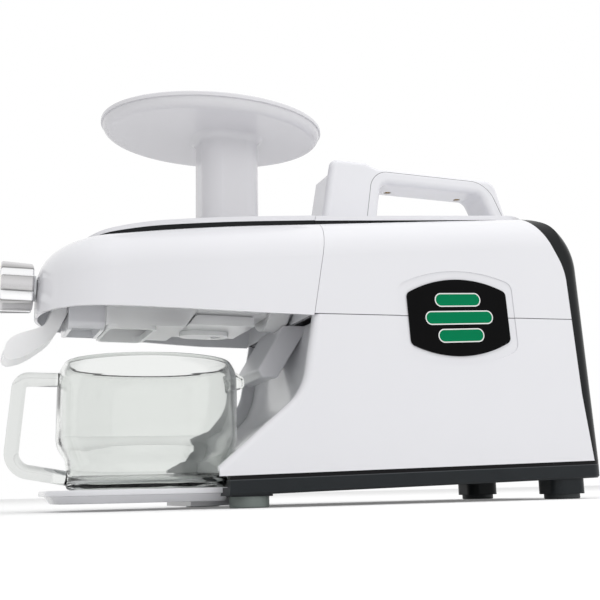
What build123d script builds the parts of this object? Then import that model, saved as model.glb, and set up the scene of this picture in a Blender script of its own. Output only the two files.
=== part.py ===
"""Twin-gear cold press juicer, modelled piece by piece in millimetres.

+X runs from the adjusting knob to the rear panel, +Z is up and the feet
stand on z = 0. The origin is under the middle of the machine.
"""

from build123d import *
from math import acos, atan2, cos, degrees, pi, radians, sin, sqrt, tan
import os

os.makedirs("parts", exist_ok=True)

# ---------------------------------------------------------------- driving sizes
# Overall
half_width = 85.5          # the body is 171 wide
rear_x = 239.0             # rear panel at its foot
knob_front_x = -239.0
rake = 1.4                 # the body climbs to the rear by this angle
wall = 2.5                 # moulded plastic walls
fit = 0.3                  # sliding clearance
running = 0.08             # radial play of plain bearings
beyond = 500.0             # cutters run this far past the part
overrun = 20.0             # and this far past a seam

# Body side view
seam_x, seam_z = -15.6, 142.0      # front end of the seam between the housings
band_x, band_z = -83.0, 8.7        # front foot of the base band
band_height = 13.9
front_lean = 10.0                  # the hood seam and cheeks lean back
knee = (-25.85, 84.1)
knee_radius = 40.0
tip_x, tip_top_z = -90.3, 29.3
top_x, top_z = 5.0, 221.6          # a point of the top line
top_slope = 6.0                    # degrees
top_radius = 32.0                  # long upper corners
rear_lean = 2.6
rear_top_radius = 50.0
rear_corner_radius = 12.0
border = [(231.0, 10.0), (221.5, 85.0), (214.5, 191.0), (184.5, 244.0)]
border_radius = 50.0
cheek_width = 6.5                  # front flange of the side walls
cheek_radius = 5.0
bay_depth = 12.0                   # the front wall lies this far behind the cheeks
bay_foot_x, bay_foot_z = -60.0, 41.5     # the wall stands upright up to here
ledge_z = 14.6
bulkhead_x = 10.0
vent_z, vent_pitch, vent_height, vent_width, vent_count = 118.0, 9.0, 4.0, 92.0, 9
inlet_z, inlet_radius = 48.0, 9.0

# Hood
hood_low_x, hood_low_z = -60.0, 140.9     # its lower edge is level back from here
hood_nose_low_z = 145.3            # and climbs to the nose
nose_x = -212.5
nose_flat = 27.0                   # half the flat of the nose
nose_shoulder_x, nose_shoulder_in = -186.8, 18.9
nose_side_x = -98.9                # the sides run straight from here
nose_radii = [80.0, 54.0, 500.0]
hood_overrun_x = 60.0              # the hood's outline is drawn back to here, then cut at its rear plane
deck_inset = 31.0                  # deck edge inside the hood edge
trim_rear, trim_front, trim_end = 4.0, 5.0, 1.0
deck_thickness, deck_rear_drop, deck_block_z = 4.0, 2.0, 100.0
deck_break_x = -120.0
deck_nose_x = -183.0
trim_width = 6.0
trim_gap = 0.4                     # parting gap between hood and body
deck_end_radius = 25.0
deck_end_x = 212.0
trim_end_x = 170.0

feed_gap = 0.5                     # hood opening around the feed chute
slot_half_width = 4.8              # nose slot around the knob's stem

# Carrying handle
handle_width = 36.0
tower_front = (18.5, 31.0)         # x at the foot and at the top
tower_top_z, tower_rear_x = 295.3, 64.0
bar_start_x, bar_top_z, bar_end_x, bar_end_z = 76.0, 290.8, 195.0, 291.0
handle_foot_x = 215.6
opening = [(70.6, 225.0), (78.7, 277.2), (179.5, 277.2), (204.5, 225.0)]
opening_radius = 9.0
grip_thickness = 10.5
handle_round = 5.0
handle_screw_x, handle_screw_y = (96.0, 168.5), 7.0
screw_gap = 0.15
scoop = [(29.8, 280.5), (34.7, 283.0), (42.7, 287.6), (52.0, 291.0)]   # cut beside the rocker
rocker_x, rocker_y, rocker_z = 42.7, -8.5, 285.8
rocker_radius, rocker_width, rocker_pin, pin_seat = 8.4, 9.0, 2.0, 3.0
switch_depth = 23.0                # the switch housing reaches this far under the rocker's pin

# Badges
badge_x, badge_z, badge_tilt = 109.0, 144.3, 3.3
badge_length, badge_corner_height, badge_bulge, badge_corner = 91.0, 40.6, 10.9, 5.0
badge_recess, badge_thickness, badge_margin = 0.8, 1.2, 7.0

# Drive line
shaft_z = 168.0                    # output shaft and juicing gears
motor_drop = 73.0                  # the motor lies this far under the output shaft
motor_module, output_module = 1.25, 1.5
pinion_teeth, wheel_teeth = 12, 44
small_teeth, output_teeth = 14, 50
gear_slack = 0.3                   # flank clearance of the drive gears
web_hole_circle, web_holes, web_hole_radius = 24.0, 5, 6.5
pressure = 20.0
motor_shaft_radius = 5.0
drive_shaft_radius = 9.0
stator_radius, rotor_radius, air_gap = 42.0, 24.0, 0.6
stator_length, stator_slots, slot_depth, slot_width = 50.0, 12, 8.0, 4.0
winding_length, winding_gap = 14.0, 2.0
cradle_inset, cradle_width, cradle_wrap = 5.0, 56.0, 14.0
bell_wall = 3.0
case_x, case_length = 20.0, 64.0   # gearbox
case_wall = 3.0
cover_thickness = 2.0
pedestal_inset, pedestal_width = 7.0, 30.0
neck_radius, neck_x = 24.0, -26.0
bearing_width, bearing_outer, bearing_gap, bearing_step = 8.0, 15.0, 0.05, 0.5
boss_wall = 3.0
case_gap = 3.5                     # gear teeth to case wall
cluster_pin, pin_depth, pin_boss = 4.0, 1.5, 4.0
first_stage_width, cover_gap = 12.0, 5.0
second_stage_width, front_gap = 18.0, 8.5
seal_outer, seal_width = 16.0, 5.0
hex_end_x = -60.0
motor_bearing_outer, motor_bearing_width = 11.0, 7.0
winding_outer, winding_inner = 37.0, 27.0
window_circle, window_radius, windows = 27.0, 6.0, 6      # cooling windows in the end bells
fan_width, fan_gap = 12.0, 8.0
fan_hub_radius, fan_disc_radius, fan_disc, fan_blades = 9.0, 30.0, 2.0, 7
blade_length, blade_thickness, blade_middle, blade_twist = 26.0, 1.8, 20.0, 25.0
capacitor_inset, capacitor_length, capacitor_radius, capacitor_side_gap = 3.0, 62.0, 15.0, 15.5
board_offset, board_side_gap, board_length, board_width, board_standoff = 50.0, 17.5, 60.0, 40.0, 5.0
board_thickness, post_radius, post_inset = 1.6, 2.5, 4.0
relay_length, relay_height = 14.0, 12.0

# Neck cover under the hood's rear end
neck_cover_x, neck_cover_front_x, neck_cover_rear_x = -20.0, -43.5, -27.0
neck_cover_low, neck_cover_half = 99.5, 30.0

# Juicing unit
gear_offset = 15.5                 # each juicing gear stands this far from the middle
juicing_teeth = 11
juicing_slack = 0.5
juicing_front_x, juicing_rear_x = -148.0, -40.0
chamber_clearance = 0.5
chamber_half_width, chamber_under, chamber_over = 37.0, 20.0, 21.0   # below, above the shafts
housing_front_x = -163.0
spout_x, spout_length, spout_half_width, spout_drop = -143.0, 38.0, 34.0, 34.0
trough_drop, trough_rear_x = 31.0, -103.0
cap_front_x, cap_half_width, cap_under, cap_over, cap_wall = -190.0, 25.0, 34.0, 26.0, 3.0
cap_pocket = 7.0                   # moulding pocket in its underside
nozzle_radius, nozzle_length, nozzle_rear_x = 11.0, 14.0, -182.5
pulp_radius = 8.0
exit_drop, exit_height, exit_half_width = 16.0, 13.0, 14.0
tongue_under, tongue_height = 22.5, 17.7
chamber_rear_x, sleeve_end_x, sleeve_wall = -34.0, -18.0, 4.5
screen_length, screen_half_width = 40.0, 27.0
latch_front_x, latch_rear_x, latch_drop, latch_half_width = -99.0, -46.0, 28.0, 30.0
tab_thickness, tab_width, tab_y, tab_end_x, tab_hole = 3.5, 22.0, 7.0, -57.0, 4.0
stub_radius, stub_length = 5.0, 8.0
socket_depth, hex_radius = 22.0, 7.5
stem_end_x = -174.0
flute_radius, flute_depth = 9.0, 3.2
chute_half_width, chute_wall = 20.0, 2.2
# chute outlines as (x, z) steps from the cap's front face and the shafts' height
chute_under_steps = [(-0.2, -21.0), (-5.3, -32.0), (-10.2, -40.2), (-19.7, -48.5), (-28.7, -54.6)]
chute_under_steps += [(-39.6, -58.2)]
chute_over_steps = [(-44.8, -51.5), (-39.5, -41.2), (-26.0, -35.4), (-16.5, -30.6), (-12.5, -22.0)]
chute_over_steps += [(-0.2, -7.0)]
stem_radius = 4.0
knob_radius, knob_length = 20.5, 24.0
knob_lobes = 6
collar_radius = 10.0

# Feed tray
feed_x, feed_length, feed_width, feed_radius = -59.2, 49.0, 44.0, 14.0
feed_low = 195.0
tray_x, tray_half_length, tray_half_width = -71.0, 93.0, 72.0
tray_low, tray_rim_z = 306.0, 317.5
tray_lip, tray_lip_height, tray_wall = 1.4, 3.6, 3.0
tray_round, throat_round = 7.0, 6.0

# Pitcher and drip tray
pitcher_x, pitcher_radius, pitcher_rim_z = -124.5, 69.5, 112.5
pitcher_base_radius, pitcher_base_z, pitcher_wall = 61.0, 15.3, 3.4
pitcher_floor = 8.5
pitcher_waist_z = 38.0
grip_bar, grip_bar_width, grip_bend = 11.0, 16.0, 7.0
grip_path = [(-190.0, 97.2), (-221.2, 97.2), (-225.0, 34.0), (-183.0, 25.0)]
lip_x, lip_low, lip_half_width = -47.5, 94.0, 12.0
drip_front_x, drip_rear_x, drip_half_width = -210.7, -88.0, 66.0
drip_low, drip_rim_z, drip_wall, drip_rim_height, drip_corner = 5.4, 15.0, 2.2, 4.0, 20.0
rest_radius = 50.0
drip_tongue_x, drip_tongue_half, drip_tongue_height = -64.0, 40.0, 2.8

# Feet
front_foot_x, rear_foot_x, foot_y, foot_radius = -63.0, 208.0, 66.0, 15.5
front_pad, rear_pad = 8.0, 4.0

# ---------------------------------------------------------------- derived values
rake_slope = tan(radians(rake))
shaft_y = -gear_offset             # the output shaft drives the near juicing gear
motor_z = shaft_z - motor_drop
chamber_low, chamber_high = shaft_z - chamber_under, shaft_z + chamber_over
spout_z, trough_z, exit_z = shaft_z - spout_drop, shaft_z - trough_drop, shaft_z - exit_drop
cap_low, cap_high = shaft_z - cap_under, shaft_z + cap_over
tongue_low = shaft_z - tongue_under
tongue_high = tongue_low + tongue_height
latch_low = shaft_z - latch_drop
chute_under = [(cap_front_x + x, shaft_z + z) for x, z in chute_under_steps]
chute_over = [(cap_front_x + x, shaft_z + z) for x, z in chute_over_steps]
nose_corners = [(nose_x, nose_flat), (nose_shoulder_x, half_width - nose_shoulder_in)]
nose_corners += [(nose_side_x, half_width)]
lean_slope = tan(radians(front_lean))
deck_slope = tan(radians(top_slope))
rear_slope = tan(radians(rear_lean))
juicing_module = 2 * gear_offset / juicing_teeth
cluster_reach = motor_module * (pinion_teeth + wheel_teeth) / 2
output_reach = output_module * (small_teeth + output_teeth) / 2
shaft_rise = shaft_z - motor_z
shaft_reach = sqrt(shaft_rise**2 + shaft_y**2)
# the cluster gear stands where both of its meshes are at their centre distance
cluster_along = (cluster_reach**2 - output_reach**2 + shaft_reach**2) / (2 * shaft_reach)
cluster_aside = sqrt(cluster_reach**2 - cluster_along**2)
cluster_y = (cluster_along * shaft_y + cluster_aside * shaft_rise) / shaft_reach
cluster_z = motor_z + (cluster_along * shaft_rise - cluster_aside * shaft_y) / shaft_reach
cover_x = case_x + case_length
bell_front_x = cover_x + cover_thickness + bell_wall
stator_x = bell_front_x + winding_gap + winding_length
bell_rear_x = stator_x + stator_length + winding_length + winding_gap
first_stage_x = cover_x - cover_gap - first_stage_width
bearing_seat_x = case_x + case_wall + bearing_step
second_stage_x = bearing_seat_x + bearing_width + front_gap
fan_x = bell_rear_x + bell_wall + fan_gap
capacitor_x = stator_x + capacitor_inset
board_x = case_x + board_offset
board_y = board_side_gap + board_width / 2 - half_width
capacitor_y = half_width - capacitor_side_gap - capacitor_radius


def seam(x):
    """Height of the seam between the two housings."""
    return seam_z + (x - seam_x) * rake_slope


def band_low(x):
    """Height of the underside of the base."""
    return band_z + (x - band_x) * rake_slope


def band_top(x):
    return band_low(x) + band_height


def deck_line(x):
    """Height of the housings' flat top."""
    return top_z + (x - top_x) * deck_slope


def hood_plane(z):
    """x of the leaning plane where the hood meets the body."""
    return seam_x + (z - seam_z) * lean_slope


def rear_plane(z):
    return rear_x - (z - band_low(rear_x)) * rear_slope


# ---------------------------------------------------------------- shared forms
def side_slab(points, reach=beyond):
    """Polygon of the side view, (x, z) points, pulled out to both sides."""
    with BuildPart() as slab:
        with BuildSketch(Plane.XZ):
            with BuildLine():
                Polyline(*points, close=True)
            make_face()
        extrude(amount=reach, both=True)
    return slab.part


def over_line(line, limit=beyond):
    """Everything between a line of the side view and the height limit."""
    return side_slab([(-beyond, line(-beyond)), (beyond, line(beyond)), (beyond, limit), (-beyond, limit)])


def above_seam():
    return over_line(seam)


def above_hood_edge():
    return side_slab(
        [
            (beyond, hood_low_z),
            (beyond, beyond),
            (-beyond, beyond),
            (-beyond, hood_nose_low_z),
            (nose_x, hood_nose_low_z),
            (hood_low_x, hood_low_z),
        ]
    )


def below_seam():
    return over_line(seam, -beyond)


def above_base():
    return over_line(band_top)


def behind_hood_plane():
    return side_slab([(hood_plane(0), 0), (hood_plane(beyond), beyond), (beyond, beyond), (beyond, 0)])


def behind_border():
    """Everything that belongs to the rear panel."""
    with BuildPart() as region:
        with BuildSketch(Plane.XZ):
            with BuildLine():
                edge = FilletPolyline(*border, radius=border_radius)
                Polyline(edge @ 1, (beyond, beyond), (beyond, -beyond), (border[0][0], -beyond), edge @ 0)
            make_face()
        extrude(amount=beyond, both=True)
    return region.part


def lower_form(inset):
    """Outer form of the lower housing without its ends, moved in by inset."""
    ramp = (tip_top_z - knee[1]) / (tip_x - knee[0])
    with BuildPart() as form:
        with BuildSketch(Plane.XZ):
            with BuildLine():
                front = FilletPolyline(
                    (-2 * beyond, knee[1] + ramp * (-2 * beyond - knee[0])),
                    knee,
                    (hood_plane(beyond), beyond),
                    radius=knee_radius,
                )
                Polyline(front @ 1, (2 * beyond, beyond), (2 * beyond, -beyond * 2), front @ 0)
            make_face()
            if inset:
                offset(amount=-inset, kind=Kind.INTERSECTION)
        extrude(amount=half_width - min(inset, wall), both=True)
    return form.part


def upper_form(inset):
    """Outer form of the upper housing, open downwards and to the rear."""
    drop = inset / cos(radians(top_slope))
    front = inset / cos(radians(front_lean))
    peak = deck_line(hood_plane(top_z)) - drop
    with BuildPart() as form:
        with BuildSketch(Plane.XZ):
            with BuildLine():
                Polyline(
                    (hood_plane(0) + front, 0),
                    (hood_plane(peak) + front, deck_line(hood_plane(peak) + front) - drop),
                    (2 * half_width + rear_x, deck_line(2 * half_width + rear_x) - drop),
                    (2 * half_width + rear_x, 0),
                    close=True,
                )
            make_face()
        extrude(amount=half_width - inset, both=True)
        top = form.faces().sort_by(Axis.Z)[-1]
        fillet(top.edges().filter_by(lambda e: abs(e.center().Y) > half_width / 2), top_radius - inset)
    return form.part


def rear_form(inset):
    """Outer form of the rear end, open to the front."""
    drop = inset / cos(radians(top_slope))
    peak_x = rear_plane(deck_line(rear_x)) - inset
    foot_z = band_low(rear_x)
    with BuildPart() as form:
        with BuildSketch(Plane.XZ):
            with BuildLine():
                skin = FilletPolyline(
                    (0, deck_line(0) - drop),
                    (peak_x, deck_line(peak_x) - drop),
                    (rear_plane(foot_z) - inset, foot_z),
                    radius=rear_top_radius - inset,
                )
                Polyline(skin @ 1, (0, foot_z), skin @ 0)
            make_face()
        extrude(amount=half_width - inset, both=True)
        side_edges = form.edges().filter_by(lambda e: abs(abs(e.center().Y) - half_width + inset) < 0.01)
        outer = side_edges.filter_by(lambda e: e.center().X > 10 and e.center().Z > foot_z + 1)
        fillet(outer, rear_corner_radius - inset)
        add(upper_form(inset), mode=Mode.INTERSECT)
    return form.part


def fitted_radii(points, radii):
    """Fillet radii of an open outline's corners, each limited by the room beside it."""
    runs = [(b[0] - a[0], b[1] - a[1]) for a, b in zip(points, points[1:])]
    lengths = [sqrt(x * x + y * y) for x, y in runs]
    needs = [0.0]
    for (ax, ay), (bx, by), radius in zip(runs, runs[1:], radii):
        turn = abs(atan2(ax * by - ay * bx, ax * bx + ay * by))
        needs.append(radius * tan(turn / 2))
    needs.append(0.0)
    room = [0.98 * run / max(a + b, 0.001) for run, a, b in zip(lengths, needs, needs[1:])]
    return [radius * min(1.0, a, b) for radius, a, b in zip(radii, room, room[1:])]


def hood_outline(inset):
    """Bullet-shaped plan of the hood as a face, moved in by inset."""
    far = [(hood_overrun_x, half_width)] + nose_corners[::-1]
    near = [(x, -y) for x, y in reversed(far)]
    radii = fitted_radii(far + near, nose_radii[::-1] + nose_radii)
    with BuildSketch(mode=Mode.PRIVATE) as plan:
        with BuildLine():
            bullet = FilletPolyline(*far, *near, radius=radii)
            Line(bullet @ 1, bullet @ 0)
        make_face()
        if inset:
            offset(amount=-inset)
    return plan.sketch


def hood_form(inset):
    """Outer form of the hood, open downwards and to the rear."""
    drop = inset / cos(radians(top_slope))
    with BuildPart() as form:
        with BuildSketch(Plane.XY.offset(seam_z - half_width)):
            add(hood_outline(inset))
        extrude(amount=top_z + half_width)
        add(
            side_slab(
                [
                    (-beyond, deck_line(-beyond) - drop),
                    (beyond, deck_line(beyond) - drop),
                    (beyond, beyond),
                    (-beyond, beyond),
                ]
            ),
            mode=Mode.SUBTRACT,
        )
        top = form.faces().sort_by(Axis.Z)[-1]
        rim = top.edges().filter_by(lambda e: e.center().X < 50)
        fillet(rim, top_radius - inset)
    return form.part


def before_hood_plane(gap=0.0):
    return side_slab(
        [
            (hood_plane(-beyond) - gap, -beyond),
            (hood_plane(beyond) - gap, beyond),
            (-beyond, beyond),
            (-beyond, -beyond),
        ]
    )


def feed_plug(gap, low, high):
    """The feed chute's outer form, grown by gap."""
    with BuildPart() as plug:
        with BuildSketch(Plane.XY.offset(low)):
            with Locations((feed_x, 0)):
                RectangleRounded(feed_length + 2 * gap, feed_width + 2 * gap, feed_radius + gap)
        extrude(amount=high - low)
    return plug.part


def tooth_half_angle(radius, pitch_radius, teeth, slack):
    """Half the angle that an involute tooth fills at a radius."""
    base = pitch_radius * cos(radians(pressure))

    def involute(r):
        angle = acos(min(1.0, base / r))
        return tan(angle) - angle

    return pi / (2 * teeth) - slack / (2 * pitch_radius) + involute(pitch_radius) - involute(radius)


def gear_face(teeth, module, slack, turn, addendum=0.8, dedendum=1.15):
    """Spur gear outline as a face, with one tooth at the angle turn."""
    pitch = module * teeth / 2
    tip, root = pitch + addendum * module, pitch - dedendum * module
    steps = 4
    radii = [root - 0.3] + [root + (tip - root) * i / steps for i in range(1, steps + 1)]
    flank = [(r, tooth_half_angle(max(r, root), pitch, teeth, slack)) for r in radii]
    side = [(r * cos(a), r * sin(a)) for r, a in flank]
    tooth = side + [(x, -y) for x, y in reversed(side)]
    with BuildSketch(mode=Mode.PRIVATE) as outline:
        Circle(root)
        with PolarLocations(0, teeth, start_angle=turn):
            Polygon(*tooth, align=None)
    return outline.sketch


def cylinder_x(x, length, radius, y=0.0, z=0.0, bore=0.0):
    """A round bar or tube along +X from x."""
    with BuildPart() as bar:
        with BuildSketch(Plane(origin=(x, y, z), x_dir=(0, 1, 0), z_dir=(1, 0, 0))):
            Circle(radius)
            if bore:
                Circle(bore, mode=Mode.SUBTRACT)
        extrude(amount=length)
    return bar.part


def across(x, y=0.0, z=0.0):
    """Plane across the machine: sketch x is +Y, sketch y is +Z, normal +X."""
    return Plane(origin=(x, y, z), x_dir=(0, 1, 0), z_dir=(1, 0, 0))


# ---------------------------------------------------------------- body
def make_lower_housing():
    with BuildPart() as lower_housing:
        add(lower_form(0))
        add(below_seam(), mode=Mode.INTERSECT)
        add(above_base(), mode=Mode.INTERSECT)
        add(side_slab([(tip_x, 0), (tip_x, beyond), (beyond, beyond), (beyond, 0)]), mode=Mode.INTERSECT)
        add(behind_border(), mode=Mode.SUBTRACT)
        front = lower_housing.edges().filter_by(
            lambda e: abs(abs(e.center().Y) - half_width) < 0.01
            and e.center().X < hood_plane(e.center().Z) + 1
            and e.center().Z > tip_top_z + 1
            and e.center().Z < seam_z - 1
        )
        fillet(front, cheek_radius)
        add(badge_block(badge_margin, half_width - badge_recess, half_width + 5), mode=Mode.SUBTRACT)
        add(lower_form(wall), mode=Mode.SUBTRACT)
        with BuildSketch(Plane.XY):
            Rectangle(2 * beyond, 2 * (half_width - cheek_width))
        extrude(amount=beyond, mode=Mode.SUBTRACT)
        # bulkhead that ties the two side walls together
        with BuildSketch(across(bulkhead_x, z=(band_top(bulkhead_x) + seam(bulkhead_x)) / 2)):
            Rectangle(2 * (half_width - wall), seam(bulkhead_x) - band_top(bulkhead_x) - 2 * fit)
        extrude(amount=wall)
    lower_housing.part.label = "lower_housing"
    export_step(lower_housing.part, "parts/lower_housing.step")


def make_upper_housing():
    with BuildPart() as upper_housing:
        add(upper_form(0))
        add(upper_form(wall), mode=Mode.SUBTRACT)
        add(above_seam(), mode=Mode.INTERSECT)
        add(behind_border(), mode=Mode.SUBTRACT)
        add(badge_block(badge_margin, half_width - badge_recess, half_width + 5), mode=Mode.SUBTRACT)
        clearance = cylinder_x(neck_x - overrun, 4 * overrun, neck_radius + 4 * fit, shaft_y, shaft_z)
        add(clearance, mode=Mode.SUBTRACT)
    upper_housing.part.label = "upper_housing"
    export_step(upper_housing.part, "parts/upper_housing.step")


def make_rear_panel():
    with BuildPart() as rear_panel:
        add(rear_form(0))
        add(rear_form(wall), mode=Mode.SUBTRACT)
        add(behind_border(), mode=Mode.INTERSECT)
        add(above_base(), mode=Mode.INTERSECT)
        with BuildSketch(across(rear_x - 30, z=vent_z)):
            with GridLocations(0, vent_pitch, 1, vent_count):
                SlotOverall(vent_width, vent_height)
            with Locations((0, inlet_z - vent_z)):
                Circle(inlet_radius + fit)
        extrude(amount=60, mode=Mode.SUBTRACT)
    rear_panel.part.label = "rear_panel"
    export_step(rear_panel.part, "parts/rear_panel.step")


def make_base_plate():
    with BuildPart() as base_plate:
        add(
            side_slab(
                [
                    (band_x, band_low(band_x)),
                    (band_x, band_top(band_x)),
                    (rear_x, band_top(rear_x)),
                    (rear_x, band_low(rear_x)),
                ],
                half_width - 0.8,
            )
        )
        corners = base_plate.edges().filter_by(Axis.Z).filter_by(lambda e: e.center().X > 0)
        fillet(corners, rear_corner_radius)
        low = base_plate.edges().filter_by(lambda e: e.center().Z < band_low(e.center().X) + 0.1)
        around = low.filter_by(lambda e: abs(e.center().Y) > half_width / 2 or e.center().X > rear_x - 2)
        chamfer(around, 1.6)
        # hollow tray under the drive line
        with BuildSketch(Plane.XY.offset(band_low(rear_x) + 3)):
            with Locations(((rear_x + bay_foot_x) / 2 + 4, 0)):
                Rectangle(rear_x - bay_foot_x - 22, 2 * (half_width - 12))
        extrude(amount=beyond, mode=Mode.SUBTRACT)
        # ledge of the pitcher bay between the cheeks
        with BuildSketch(Plane.XY.offset(ledge_z)):
            with Locations((bay_foot_x - 100, 0)):
                Rectangle(200, 2 * (half_width - cheek_width - 1.0))
        extrude(amount=beyond, mode=Mode.SUBTRACT)
    base_plate.part.label = "base_plate"
    export_step(base_plate.part, "parts/base_plate.step")


def make_front_wall():
    """Recessed wall of the pitcher bay, between the cheeks."""
    reach = half_width - wall - fit
    with BuildPart() as front_wall:
        add(lower_form(bay_depth))
        behind_foot = [(bay_foot_x, 0), (bay_foot_x, beyond), (beyond, beyond), (beyond, 0)]
        add(side_slab(behind_foot), mode=Mode.INTERSECT)
        add(lower_form(bay_depth + wall), mode=Mode.SUBTRACT)
        with BuildSketch(Plane.XZ):
            with BuildLine():
                Polyline(
                    (bay_foot_x, band_top(bay_foot_x)),
                    (bay_foot_x + wall, band_top(bay_foot_x)),
                    (bay_foot_x + wall, bay_foot_z + wall),
                    (bay_foot_x, bay_foot_z),
                    close=True,
                )
            make_face()
        extrude(amount=reach, both=True)
        add(below_seam(), mode=Mode.INTERSECT)
        add(above_base(), mode=Mode.INTERSECT)
        with BuildSketch(Plane.XY):
            Rectangle(2 * beyond, 2 * reach)
        extrude(amount=beyond, mode=Mode.INTERSECT)
    front_wall.part.label = "front_wall"
    export_step(front_wall.part, "parts/front_wall.step")


def make_body_trim():
    """Dark plinth under the top deck, tapering to the rear."""
    front = hood_plane(top_z)
    with BuildPart() as body_trim:
        add(
            side_slab(
                [
                    (front - overrun, top_z - 15),
                    (front - overrun, deck_line(front - overrun) + trim_rear),
                    (front, deck_line(front) + trim_rear),
                    (trim_end_x, deck_line(trim_end_x) + trim_end),
                    (trim_end_x, deck_line(trim_end_x) - 15),
                ],
                half_width - deck_inset,
            )
        )
        with BuildSketch(Plane.XY):
            with Locations(((front + trim_end_x) / 2, 0)):
                Rectangle(trim_end_x - front - 2 * trim_width, 2 * (half_width - deck_inset - trim_width))
        extrude(amount=beyond, mode=Mode.SUBTRACT)
        add(upper_form(0), mode=Mode.SUBTRACT)
        add(behind_hood_plane(), mode=Mode.INTERSECT)
    body_trim.part.label = "body_trim"
    export_step(body_trim.part, "parts/body_trim.step")


def make_body_deck():
    """White top plate that carries the handle and runs over the rear corner."""
    front = hood_plane(top_z)
    with BuildPart() as body_deck:
        add(deck_block())
        with BuildSketch(Plane.XY):
            with Locations(((front - overrun + deck_end_x) / 2, 0)):
                Rectangle(deck_end_x - front + 20, 2 * beyond)
        extrude(amount=beyond, mode=Mode.INTERSECT)
        add(behind_hood_plane(), mode=Mode.INTERSECT)
        rear_edges = body_deck.edges().filter_by(Axis.Z).filter_by(lambda e: e.center().X > trim_end_x)
        fillet(rear_edges, deck_end_radius)
        add(
            side_slab(
                [
                    (-beyond, 0),
                    (-beyond, deck_line(front - overrun) + trim_rear),
                    (front - overrun, deck_line(front - overrun) + trim_rear),
                    (front, deck_line(front) + trim_rear),
                    (trim_end_x, deck_line(trim_end_x) + trim_end),
                    (trim_end_x, 0),
                ]
            ),
            mode=Mode.SUBTRACT,
        )
        add(rear_form(0), mode=Mode.SUBTRACT)
        add(upper_form(0), mode=Mode.SUBTRACT)
    body_deck.part.label = "body_deck"
    export_step(body_deck.part, "parts/body_deck.step")


# ---------------------------------------------------------------- hood
def under_deck(lift):
    """Region above the trim's upper edge, raised by lift; the decks lie in it."""
    start_x = hood_plane(top_z)
    rear_end = (start_x + 60, deck_line(start_x + 60) + trim_rear + lift)
    with BuildPart() as region:
        with BuildSketch(Plane.XZ):
            with BuildLine():
                straight = Line(rear_end, (deck_break_x, deck_line(deck_break_x) + trim_front + lift))
                nose = TangentArc(
                    straight @ 1, (deck_nose_x, deck_line(deck_nose_x) + lift / 2), tangent=straight % 1
                )
                fall = nose % 1
                Polyline(
                    nose @ 1,
                    nose @ 1 + fall * 60,
                    (-beyond, 0),
                    (-beyond, beyond),
                    (start_x + 60, beyond),
                    rear_end,
                )
            make_face()
        extrude(amount=beyond, both=True)
    return region.part


def make_hood_shell():
    with BuildPart() as hood_shell:
        add(hood_form(0))
        add(hood_form(wall), mode=Mode.SUBTRACT)
        add(above_hood_edge(), mode=Mode.INTERSECT)
        add(before_hood_plane(trim_gap), mode=Mode.INTERSECT)
        add(feed_plug(feed_gap, seam_z, tray_low), mode=Mode.SUBTRACT)
        # slot that lets the hood lift off past the knob's stem
        with BuildSketch(across(nose_x - 10, z=shaft_z)):
            Circle(slot_half_width)
            with Locations((0, -half_width / 2)):
                Rectangle(2 * slot_half_width, half_width)
        extrude(amount=overrun, mode=Mode.SUBTRACT)
    hood_shell.part.label = "hood_shell"
    export_step(hood_shell.part, "parts/hood_shell.step")


def make_hood_trim():
    with BuildPart() as hood_trim:
        with BuildSketch(Plane.XY.offset(seam_z)):
            add(hood_outline(deck_inset))
            add(hood_outline(deck_inset + trim_width), mode=Mode.SUBTRACT)
        extrude(amount=top_z + deck_inset - seam_z)
        add(under_deck(0), mode=Mode.SUBTRACT)
        add(hood_form(0), mode=Mode.SUBTRACT)
        add(before_hood_plane(trim_gap), mode=Mode.INTERSECT)
    hood_trim.part.label = "hood_trim"
    export_step(hood_trim.part, "parts/hood_trim.step")


def make_hood_deck():
    with BuildPart() as hood_deck:
        with BuildSketch(Plane.XY.offset(seam_z)):
            add(hood_outline(deck_inset))
        extrude(amount=top_z + deck_inset - seam_z)
        add(under_deck(deck_thickness), mode=Mode.SUBTRACT)
        add(under_deck(0), mode=Mode.INTERSECT)
        add(hood_form(0), mode=Mode.SUBTRACT)
        add(before_hood_plane(trim_gap), mode=Mode.INTERSECT)
        add(feed_plug(feed_gap, seam_z, tray_low), mode=Mode.SUBTRACT)
    hood_deck.part.label = "hood_deck"
    export_step(hood_deck.part, "parts/hood_deck.step")


# ---------------------------------------------------------------- carrying handle and switch
def deck_block():
    """Body deck's top surface as a block that reaches down into the body."""
    front = hood_plane(top_z)
    with BuildPart() as block:
        with BuildSketch(Plane.XZ):
            with BuildLine():
                corners = [
                    (front - overrun, deck_line(front - overrun) + trim_rear + deck_thickness),
                    (front + 1, deck_line(front + 1) + trim_rear + deck_thickness),
                    (trim_end_x, deck_line(trim_end_x) + trim_end + deck_thickness),
                    (
                        rear_plane(deck_line(rear_x)) + trim_end,
                        deck_line(rear_x) + trim_end + deck_thickness - deck_rear_drop,
                    ),
                    (rear_plane(deck_block_z) + trim_end + deck_thickness, deck_block_z),
                ]
                top = FilletPolyline(*corners, radius=fitted_radii(corners, [rear_top_radius] * 3))
                Polyline(top @ 1, (front - overrun, deck_block_z), top @ 0)
            make_face()
        extrude(amount=half_width - deck_inset, both=True)
    return block.part


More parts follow.
